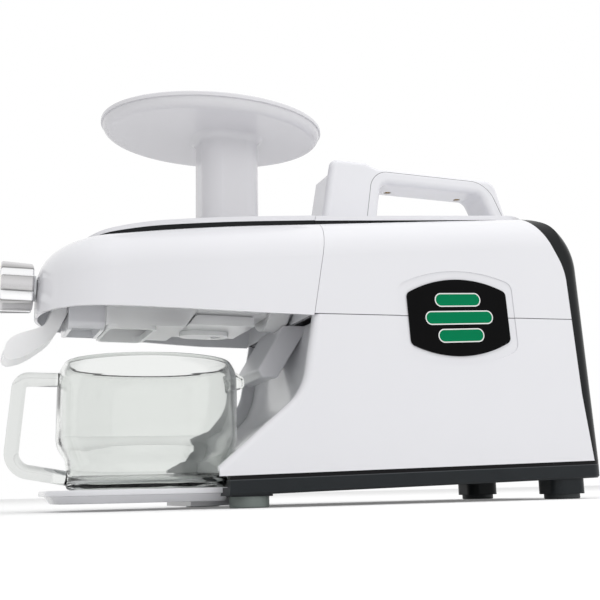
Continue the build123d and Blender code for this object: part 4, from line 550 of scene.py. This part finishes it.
def board_finish():
    """Green circuit board with copper tracks under its lacquer."""
    finish = Finish("circuit_board", coat_weight=0.3, coat_roughness=0.2)
    tracks = finish.node(
        "TexBrick", {"Vector": finish.place(), "Scale": 90.0, "Mortar Size": 0.04},
        {"offset": 0.5}, "Fac",
    )
    finish.set(
        base_color=finish.tint(tracks, (0.010, 0.10, 0.035), (0.04, 0.22, 0.08)),
        roughness=0.35 + finish.noise(50.0) * 0.1,
    )
    return finish.material


def glass_finish(tint):
    """Pressed glass with slow ripples, which lets light through to its shadow."""
    finish = Finish("pressed_glass", transmission_weight=1.0, ior=1.48)
    x = finish.position()[0]
    finish.set(
        base_color=finish.tint(x < GRIP_FROM_X, tint, scaled(tint, GRIP_SHADE)),
        roughness=0.02 + finish.noise(12.0) * 0.03,
    )
    ripple = finish.noise(28.0, detail=1.0, stretch=(1.0, 1.0, 0.6))
    finish.bump(ripple, 0.35, RIPPLE_DEPTH)
    shadow = finish.node("LightPath", out="Is Shadow Ray")
    clear = finish.node("BsdfTransparent", {"Color": (*tint, 1.0)})
    mixed = finish.node("MixShader", {
        0: shadow.at_least(shadow.beside("Is Diffuse Ray")),
        1: Wire(finish.tree, finish.shader.outputs[0]),
        2: clear,
    })
    plug(finish.tree, finish.tree.nodes["Material Output"].inputs["Surface"], mixed)
    return finish.material


# ---------------------------------------------------------------- modelling helpers
def start_piece():
    """Leaves edit mode and deselects everything."""
    if bpy.context.object and bpy.context.object.mode != "OBJECT":
        bpy.ops.object.mode_set(mode="OBJECT")
    bpy.ops.object.select_all(action="DESELECT")


def pick(piece):
    """Selects one object alone and makes it the active one."""
    start_piece()
    piece.select_set(True)
    bpy.context.view_layer.objects.active = piece


def choose(kind, test):
    """Selects what passes a test of the faces, edges or vertices in edit mode."""
    mesh = bmesh.from_edit_mesh(bpy.context.object.data)
    bpy.ops.mesh.select_all(action="DESELECT")
    bpy.ops.mesh.select_mode(type=kind)
    for item in {"FACE": mesh.faces, "EDGE": mesh.edges, "VERT": mesh.verts}[kind]:
        if test(item):
            item.select = True
    mesh.select_flush_mode()
    bmesh.update_edit_mesh(bpy.context.object.data)


def raise_by(height):
    """Extrudes the chosen faces or edges straight up, or down, in millimetres."""
    bpy.ops.mesh.extrude_region_move(
        TRANSFORM_OT_translate={"value": (0, 0, height * MM)}
    )


def inset(width):
    """Insets the chosen faces by a width in millimetres."""
    bpy.ops.mesh.inset(thickness=width * MM)


def round_edges(rounding, test):
    """Rounds the edges that pass a test, to a radius in millimetres and in steps."""
    radius, steps = rounding
    choose("EDGE", test)
    bpy.ops.mesh.bevel(offset=radius * MM, segments=steps, affect="EDGES")


def apply_modifiers(piece):
    """Applies a piece's modifiers in their order."""
    bpy.context.view_layer.objects.active = piece
    for modifier in list(piece.modifiers):
        bpy.ops.object.modifier_apply(modifier=modifier.name)


def finish_piece(piece, body, finish, smooth):
    """Settles a new piece: place, faces outward, material and body."""
    pick(piece)
    bpy.ops.object.transform_apply(location=True, rotation=True, scale=True)
    bpy.ops.object.mode_set(mode="EDIT")
    bpy.ops.mesh.select_all(action="SELECT")
    bpy.ops.mesh.remove_doubles(threshold=WELD)
    bpy.ops.mesh.normals_make_consistent(inside=False)
    bpy.ops.object.mode_set(mode="OBJECT")
    bpy.ops.object.shade_smooth_by_angle(angle=radians(smooth))
    piece.data.materials.clear()
    piece.data.materials.append(FINISHES[finish])
    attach(piece, body)


def named(name):
    """Names the object that a primitive has just made."""
    piece = bpy.context.object
    piece.name = piece.data.name = name
    return piece


def turned(name, profile, x, segments):
    """A turned form round an upright axis, from (radius, z) points in millimetres."""
    start_piece()
    radius, z = profile[0]
    bpy.ops.mesh.primitive_circle_add(
        vertices=segments, radius=radius * MM, fill_type="NGON",
        location=(x * MM, 0, z * MM),
    )
    piece = named(name)
    bpy.ops.object.mode_set(mode="EDIT")
    for next_radius, next_z in profile[1:]:
        raise_by(next_z - z)
        share = next_radius / radius
        bpy.ops.transform.resize(
            value=(share, share, 1.0), center_override=(x * MM, 0, next_z * MM)
        )
        radius, z = next_radius, next_z
    bpy.ops.object.mode_set(mode="OBJECT")
    return piece


def block(name, spans):
    """A box between pairs of limits in millimetres."""
    start_piece()
    middle = [(low + high) / 2 * MM for low, high in spans]
    bpy.ops.mesh.primitive_cube_add(size=1.0, location=middle)
    piece = named(name)
    piece.scale = [(high - low) * MM for low, high in spans]
    bpy.ops.object.transform_apply(location=False, rotation=False, scale=True)
    return piece


def unite(piece, *others):
    """Joins solids into one skin and removes what is left of them."""
    for other in others:
        modifier = piece.modifiers.new("union", "BOOLEAN")
        modifier.operation, modifier.solver, modifier.object = "UNION", "EXACT", other
    pick(piece)
    bpy.context.view_layer.update()
    size = piece.dimensions.copy()
    apply_modifiers(piece)
    bpy.context.view_layer.update()
    if min(new - old for new, old in zip(piece.dimensions, size)) < -MM:
        raise RuntimeError(f"{piece.name} lost part of its form in the union")
    for other in others:
        bpy.data.objects.remove(other)


# ---------------------------------------------------------------- settings
class JuicerLook(bpy.types.PropertyGroup):
    """Colours and gloss of the machine"""

    white: bpy.props.FloatVectorProperty(
        name="White plastic", description="Colour of the housings, hood and trays",
        default=(0.79, 0.79, 0.82), min=0.0, max=1.0, size=3, subtype="COLOR",
    )
    gloss: bpy.props.FloatProperty(
        name="White roughness", description="Roughness of the white plastic",
        default=0.16, min=0.02, max=0.8, subtype="FACTOR",
    )
    badge_green: bpy.props.FloatVectorProperty(
        name="Badge green", description="Colour of the bars on the side badges",
        default=(0.0, 0.19, 0.075), min=0.0, max=1.0, size=3, subtype="COLOR",
    )
    glass: bpy.props.FloatVectorProperty(
        name="Glass tint", description="Cast of the pitcher's glass",
        default=(0.86, 0.875, 0.86), min=0.0, max=1.0, size=3, subtype="COLOR",
    )


class JuicerSizes(bpy.types.PropertyGroup):
    """Sizes of details that the solids leave open"""

    seam_width: bpy.props.FloatProperty(
        name="Seam width", description="Width of the line where the housings meet",
        default=0.7 * MM, min=0.1 * MM, max=2.0 * MM, unit="LENGTH",
    )
    grip_bar: bpy.props.FloatProperty(
        name="Grip thickness", description="Thickness of the pitcher's grip",
        default=10.8 * MM, min=8.0 * MM, max=12.0 * MM, unit="LENGTH",
    )
    grip_width: bpy.props.FloatProperty(
        name="Grip width", description="Width of the pitcher's grip across the machine",
        default=13.0 * MM, min=8.0 * MM, max=16.0 * MM, unit="LENGTH",
    )
    tray_edge: bpy.props.FloatProperty(
        name="Tray edge", description="Rounding of the drip tray's edges",
        default=0.7 * MM, min=0.2 * MM, max=1.0 * MM, unit="LENGTH",
    )


class JuicerStage(bpy.types.PropertyGroup):
    """Strength of the studio's lights"""

    top_power: bpy.props.FloatProperty(
        name="Top softbox", description="Power of the softbox over the machine",
        default=13.5, min=0.0, max=60.0, unit="POWER",
    )
    front_power: bpy.props.FloatProperty(
        name="Front softbox", description="Power of the softbox before the machine",
        default=7.0, min=0.0, max=60.0, unit="POWER",
    )
    surroundings: bpy.props.FloatProperty(
        name="Surroundings", description="Strength of the even light from all round",
        default=0.72, min=0.0, max=1.0, subtype="FACTOR",
    )


# ---------------------------------------------------------------- solids
CAD_FINISHES = {
    "white": [
        "front_wall", "body_deck", "hood_shell", "hood_deck", "switch_housing",
        "drip_tray", "end_cap",
    ],
    "shell": ["lower_housing", "upper_housing"],
    "handle": ["handle_upper", "handle_lower"],
    "tray": ["hopper_tray"],
    "milk": ["pulp_chute", "juicing_housing", "screen_latch"],
    "cover": ["neck_cover"],
    "trim": ["body_trim", "hood_trim"],
    "slate": ["base_plate", "foot_blocks", "motor_cradle", "cord_gland"],
    "rear": ["rear_panel"],
    "badge": ["badge_plates"],
    "rocker": ["power_rocker"],
    "gear": [
        "drive_juicing_gear", "driven_juicing_gear", "outlet_nozzle", "cooling_fan",
    ],
    "rubber": ["foot_pads", "shaft_seal"],
    "board": ["control_board"],
    "copper": ["motor_windings"],
    "chrome": ["adjusting_knob"],
    "steel": [
        "knob_stem", "drive_shaft", "cluster_axle", "motor_shaft", "motor_pinion",
        "cluster_gear", "output_gear", "shaft_bearings", "motor_bearings",
        "juice_strainer", "motor_rotor",
    ],
    "stack": ["motor_stator"],
    "cast": [
        "gearbox_case", "gearbox_cover", "motor_front_bell", "motor_rear_bell",
        "run_capacitor",
    ],
    "brass": ["handle_screws"],
    "glass": ["glass_pitcher"],
}


class JUICER_OT_dress_solids(bpy.types.Operator):
    """Gives each carried-over solid its finish"""

    bl_idname = "juicer.dress_solids"
    bl_label = "Dress the Solids"

    def execute(self, context):
        scene = context.scene
        make_finishes(scene.juicer_look, scene.juicer_sizes.seam_width)
        for finish, nodes in CAD_FINISHES.items():
            for node in nodes:
                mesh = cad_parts[node].data
                mesh.materials.clear()
                mesh.materials.append(FINISHES[finish])
        return {"FINISHED"}


# ---------------------------------------------------------------- pitcher
def grip_path():
    """The grip's line: straight runs with round bends, as a Bezier curve."""
    bpy.ops.curve.primitive_bezier_curve_add()
    path = named("pitcher_grip")
    corners = [Vector((x, 0.0, z)) for x, z, _ in GRIP_CORNERS]
    points = [(corners[0],) * 3]
    for i, here in enumerate(corners[1:-1], 1):
        bend = GRIP_CORNERS[i][2]
        back = (corners[i - 1] - here).normalized()
        on = (corners[i + 1] - here).normalized()
        start, end = here + back * bend, here + on * bend
        in_bend, out_bend = start - back * bend * GRIP_PULL, end - on * bend * GRIP_PULL
        points.append((start + back * GRIP_HANDLE, start, in_bend))
        points.append((out_bend, end, end + on * GRIP_HANDLE))
    points.append((corners[-1],) * 3)
    spline = path.data.splines[0]
    spline.bezier_points.add(len(points) - len(spline.bezier_points))
    for point, (left, middle, right) in zip(spline.bezier_points, points):
        point.handle_left_type = point.handle_right_type = "FREE"
        point.co = middle * MM
        point.handle_left, point.handle_right = left * MM, right * MM
    path.data.dimensions = "3D"
    path.data.resolution_u = GRIP_STEPS
    return path


def grip_tube(bar, width):
    """The grip: a rounded bar that follows its line."""
    start_piece()
    path = grip_path()
    start_piece()
    bpy.ops.curve.primitive_bezier_circle_add(radius=0.5)
    section = named("grip_section")
    section.scale = (width, bar, 1.0)
    section.data.resolution_u = SECTION_STEPS
    for point in section.data.splines[0].bezier_points:
        for handle in (point.handle_left, point.handle_right):
            handle += (handle - point.co) * GRIP_SQUARE
    path.data.bevel_mode = "OBJECT"
    path.data.bevel_object = section
    path.data.use_fill_caps = True
    pick(path)
    bpy.ops.object.convert(target="MESH")
    tube = bpy.context.object
    bpy.data.objects.remove(section)
    return tube


def pouring_lug():
    """The lug under the rim: a rounded block, lower at outer top and inner foot."""
    lug = block("pitcher_lug", LUG)
    bpy.ops.object.mode_set(mode="EDIT")
    choose("VERT", lambda v: v.co.x > 0 and v.co.z > 0)
    bpy.ops.transform.translate(value=(0, 0, -LUG_TOP_FALL * MM))
    choose("VERT", lambda v: v.co.x < 0 and v.co.z < 0)
    bpy.ops.transform.translate(value=(0, 0, -LUG_FOOT_FALL * MM))
    round_edges(LUG_ROUNDING, lambda e: True)
    bpy.ops.object.mode_set(mode="OBJECT")
    return lug


class JUICER_OT_build_pitcher(bpy.types.Operator):
    """Models the pressed-glass pitcher with its grip and lug"""

    bl_idname = "juicer.build_pitcher"
    bl_label = "Build the Pitcher"

    def execute(self, context):
        sizes = context.scene.juicer_sizes
        jug = turned("pressed_pitcher", PITCHER_PROFILE, PITCHER_X, PITCHER_SIDES)
        unite(jug, grip_tube(sizes.grip_bar, sizes.grip_width), pouring_lug())
        finish_piece(jug, "pitcher", "glass", smooth=40.0)
        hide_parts("glass_pitcher")
        return {"FINISHED"}


# ---------------------------------------------------------------- drip tray
def upright(edge):
    """Whether an edge of the plain block stands on end."""
    return abs(edge.verts[0].co.z - edge.verts[1].co.z) > MM


def tray_dish(edge):
    """The dish: a block with round corners, a sloped ledge below and a well on top."""
    tray = block("drip_dish", (
        (TRAY_FRONT, TRAY_REAR), (-TRAY_HALF, TRAY_HALF), (TRAY_RIM_LOW, TRAY_RIM),
    ))
    middle = tray.location.copy()
    bpy.ops.object.mode_set(mode="EDIT")
    round_edges(TRAY_FRONT_CORNER, lambda e: upright(e) and e.verts[0].co.x < 0)
    round_edges(TRAY_REAR_CORNER, lambda e: upright(e) and e.verts[0].co.x > 0)
    choose("FACE", lambda f: f.normal.z < -FACING)
    inset(TRAY_LEDGE)
    raise_by(TRAY_LOW - TRAY_RIM_LOW)
    bpy.ops.transform.resize(value=TRAY_LEDGE_SHRINK, center_override=middle)
    choose("FACE", lambda f: f.normal.z > FACING)
    for width in TRAY_TOP_INSETS:
        inset(width)
    raise_by(TRAY_WELL - TRAY_RIM)
    inset(TRAY_FLOOR_INSET)
    bpy.ops.object.mode_set(mode="OBJECT")
    bevel = tray.modifiers.new("soft_edges", "BEVEL")
    bevel.width, bevel.segments = edge, TRAY_EDGE_STEPS
    bevel.angle_limit = TRAY_EDGE_ANGLE
    apply_modifiers(tray)
    return tray


class JUICER_OT_build_drip_tray(bpy.types.Operator):
    """Models the drip tray with its round front, rim and well"""

    bl_idname = "juicer.build_drip_tray"
    bl_label = "Build the Drip Tray"

    def execute(self, context):
        tray = tray_dish(context.scene.juicer_sizes.tray_edge)
        unite(tray, block("tray_tongue", TRAY_TONGUE))
        finish_piece(tray, "drip_catcher", "white", smooth=35.0)
        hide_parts("drip_tray")
        return {"FINISHED"}


# ---------------------------------------------------------------- stage
def direct_rays(graph):
    """1 for rays from the lens, from gloss and through glass, and 0 for the rest."""
    lens = graph.node("LightPath", out="Is Camera Ray")
    gloss = lens.at_least(lens.beside("Is Glossy Ray"))
    return gloss.at_least(lens.beside("Is Transmission Ray"))


def floor_material():
    """Floor that the lens sees as full white, and that keeps the machine's shadow."""
    finish = Finish("studio_white", base_color=FLOOR_COLOUR, roughness=0.9)
    lift = direct_rays(finish) * FLOOR_LIFT
    glow = finish.node("CombineXYZ", {"X": lift, "Y": lift, "Z": lift})
    finish.set(emission_color=glow, emission_strength=1.0)
    return finish.material


def light_world(scene, strength):
    """Even white surroundings; lens, glass and metal see them at full white."""
    scene.world = bpy.data.worlds.new("studio_world")
    scene.world.use_nodes = True
    graph = Graph(scene.world.node_tree)
    background = graph.tree.nodes["Background"].inputs
    plug(graph.tree, background["Color"], (1.0, 1.0, 1.0, 1.0))
    lifted = strength + direct_rays(graph) * (1.0 - strength)
    plug(graph.tree, background["Strength"], lifted)


def add_softbox(name, place, target, size, power):
    """A rectangular soft lamp that faces its target and isn't mirrored itself."""
    bpy.ops.object.light_add(type="AREA", location=place)
    lamp = named(name)
    lamp.data.shape = "RECTANGLE"
    lamp.data.size, lamp.data.size_y = size
    lamp.data.energy = power
    lamp.visible_glossy = lamp.visible_transmission = False
    aim = Vector(target) - Vector(place)
    lamp.rotation_euler = aim.to_track_quat("-Z", "Y").to_euler()


def add_camera(scene):
    """The lens stands low at the machine's left front and looks slightly up."""
    level = Vector((sin(CAMERA_YAW), cos(CAMERA_YAW), 0.0))
    ahead = level * cos(CAMERA_PITCH) + Vector((0.0, 0.0, sin(CAMERA_PITCH)))
    right = Vector((cos(CAMERA_YAW), -sin(CAMERA_YAW), 0.0))
    up = right.cross(ahead)
    right, up = (
        cos(CAMERA_ROLL) * right + sin(CAMERA_ROLL) * up,
        cos(CAMERA_ROLL) * up - sin(CAMERA_ROLL) * right,
    )
    bpy.ops.object.camera_add(location=CAMERA_PLACE)
    camera = named("studio_camera")
    camera.data.sensor_width = CAMERA_SENSOR
    camera.data.lens = CAMERA_SENSOR * CAMERA_FOCAL / PICTURE_WIDTH
    camera.data.clip_start, camera.data.clip_end = CAMERA_CLIP
    camera.rotation_euler = Matrix((right, up, -ahead)).transposed().to_euler()
    scene.camera = camera


class JUICER_OT_build_stage(bpy.types.Operator):
    """Builds the floor, lights and camera"""

    bl_idname = "juicer.build_stage"
    bl_label = "Build the Stage"

    def execute(self, context):
        lights = context.scene.juicer_stage
        start_piece()
        bpy.ops.mesh.primitive_plane_add(size=FLOOR_SIZE, location=(0, 0, -FLOOR_LOW))
        floor = named("studio_floor")
        floor.data.materials.append(floor_material())
        light_world(context.scene, lights.surroundings)
        for name, place, target, size, power in SOFTBOXES:
            add_softbox(name, place, target, size, getattr(lights, power))
        add_camera(context.scene)
        context.scene.view_settings.view_transform = "Standard"
        return {"FINISHED"}


# ---------------------------------------------------------------- add-on
OPERATORS = (
    JUICER_OT_dress_solids,
    JUICER_OT_build_pitcher,
    JUICER_OT_build_drip_tray,
    JUICER_OT_build_stage,
)
SETTINGS = {
    "juicer_look": JuicerLook,
    "juicer_sizes": JuicerSizes,
    "juicer_stage": JuicerStage,
}


class JUICER_PT_panel(bpy.types.Panel):
    """Lists the juicer's settings and operators"""

    bl_label = "Cold Press Juicer"
    bl_idname = "JUICER_PT_panel"
    bl_space_type = "VIEW_3D"
    bl_region_type = "UI"
    bl_category = "Juicer"

    def draw(self, context):
        column = self.layout.column()
        for group, kind in SETTINGS.items():
            for name in kind.__annotations__:
                column.prop(getattr(context.scene, group), name)
        for operator in OPERATORS:
            column.operator(operator.bl_idname)


CLASSES = (*SETTINGS.values(), *OPERATORS, JUICER_PT_panel)


def register():
    for each in CLASSES:
        bpy.utils.register_class(each)
    for name, group in SETTINGS.items():
        setattr(bpy.types.Scene, name, bpy.props.PointerProperty(type=group))


def unregister():
    for name in SETTINGS:
        delattr(bpy.types.Scene, name)
    for each in reversed(CLASSES):
        bpy.utils.unregister_class(each)


def main():
    """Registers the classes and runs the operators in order."""
    register()
    for operator in OPERATORS:
        group, action = operator.bl_idname.split(".")
        getattr(getattr(bpy.ops, group), action)()


if __name__ == "__main__":
    main()
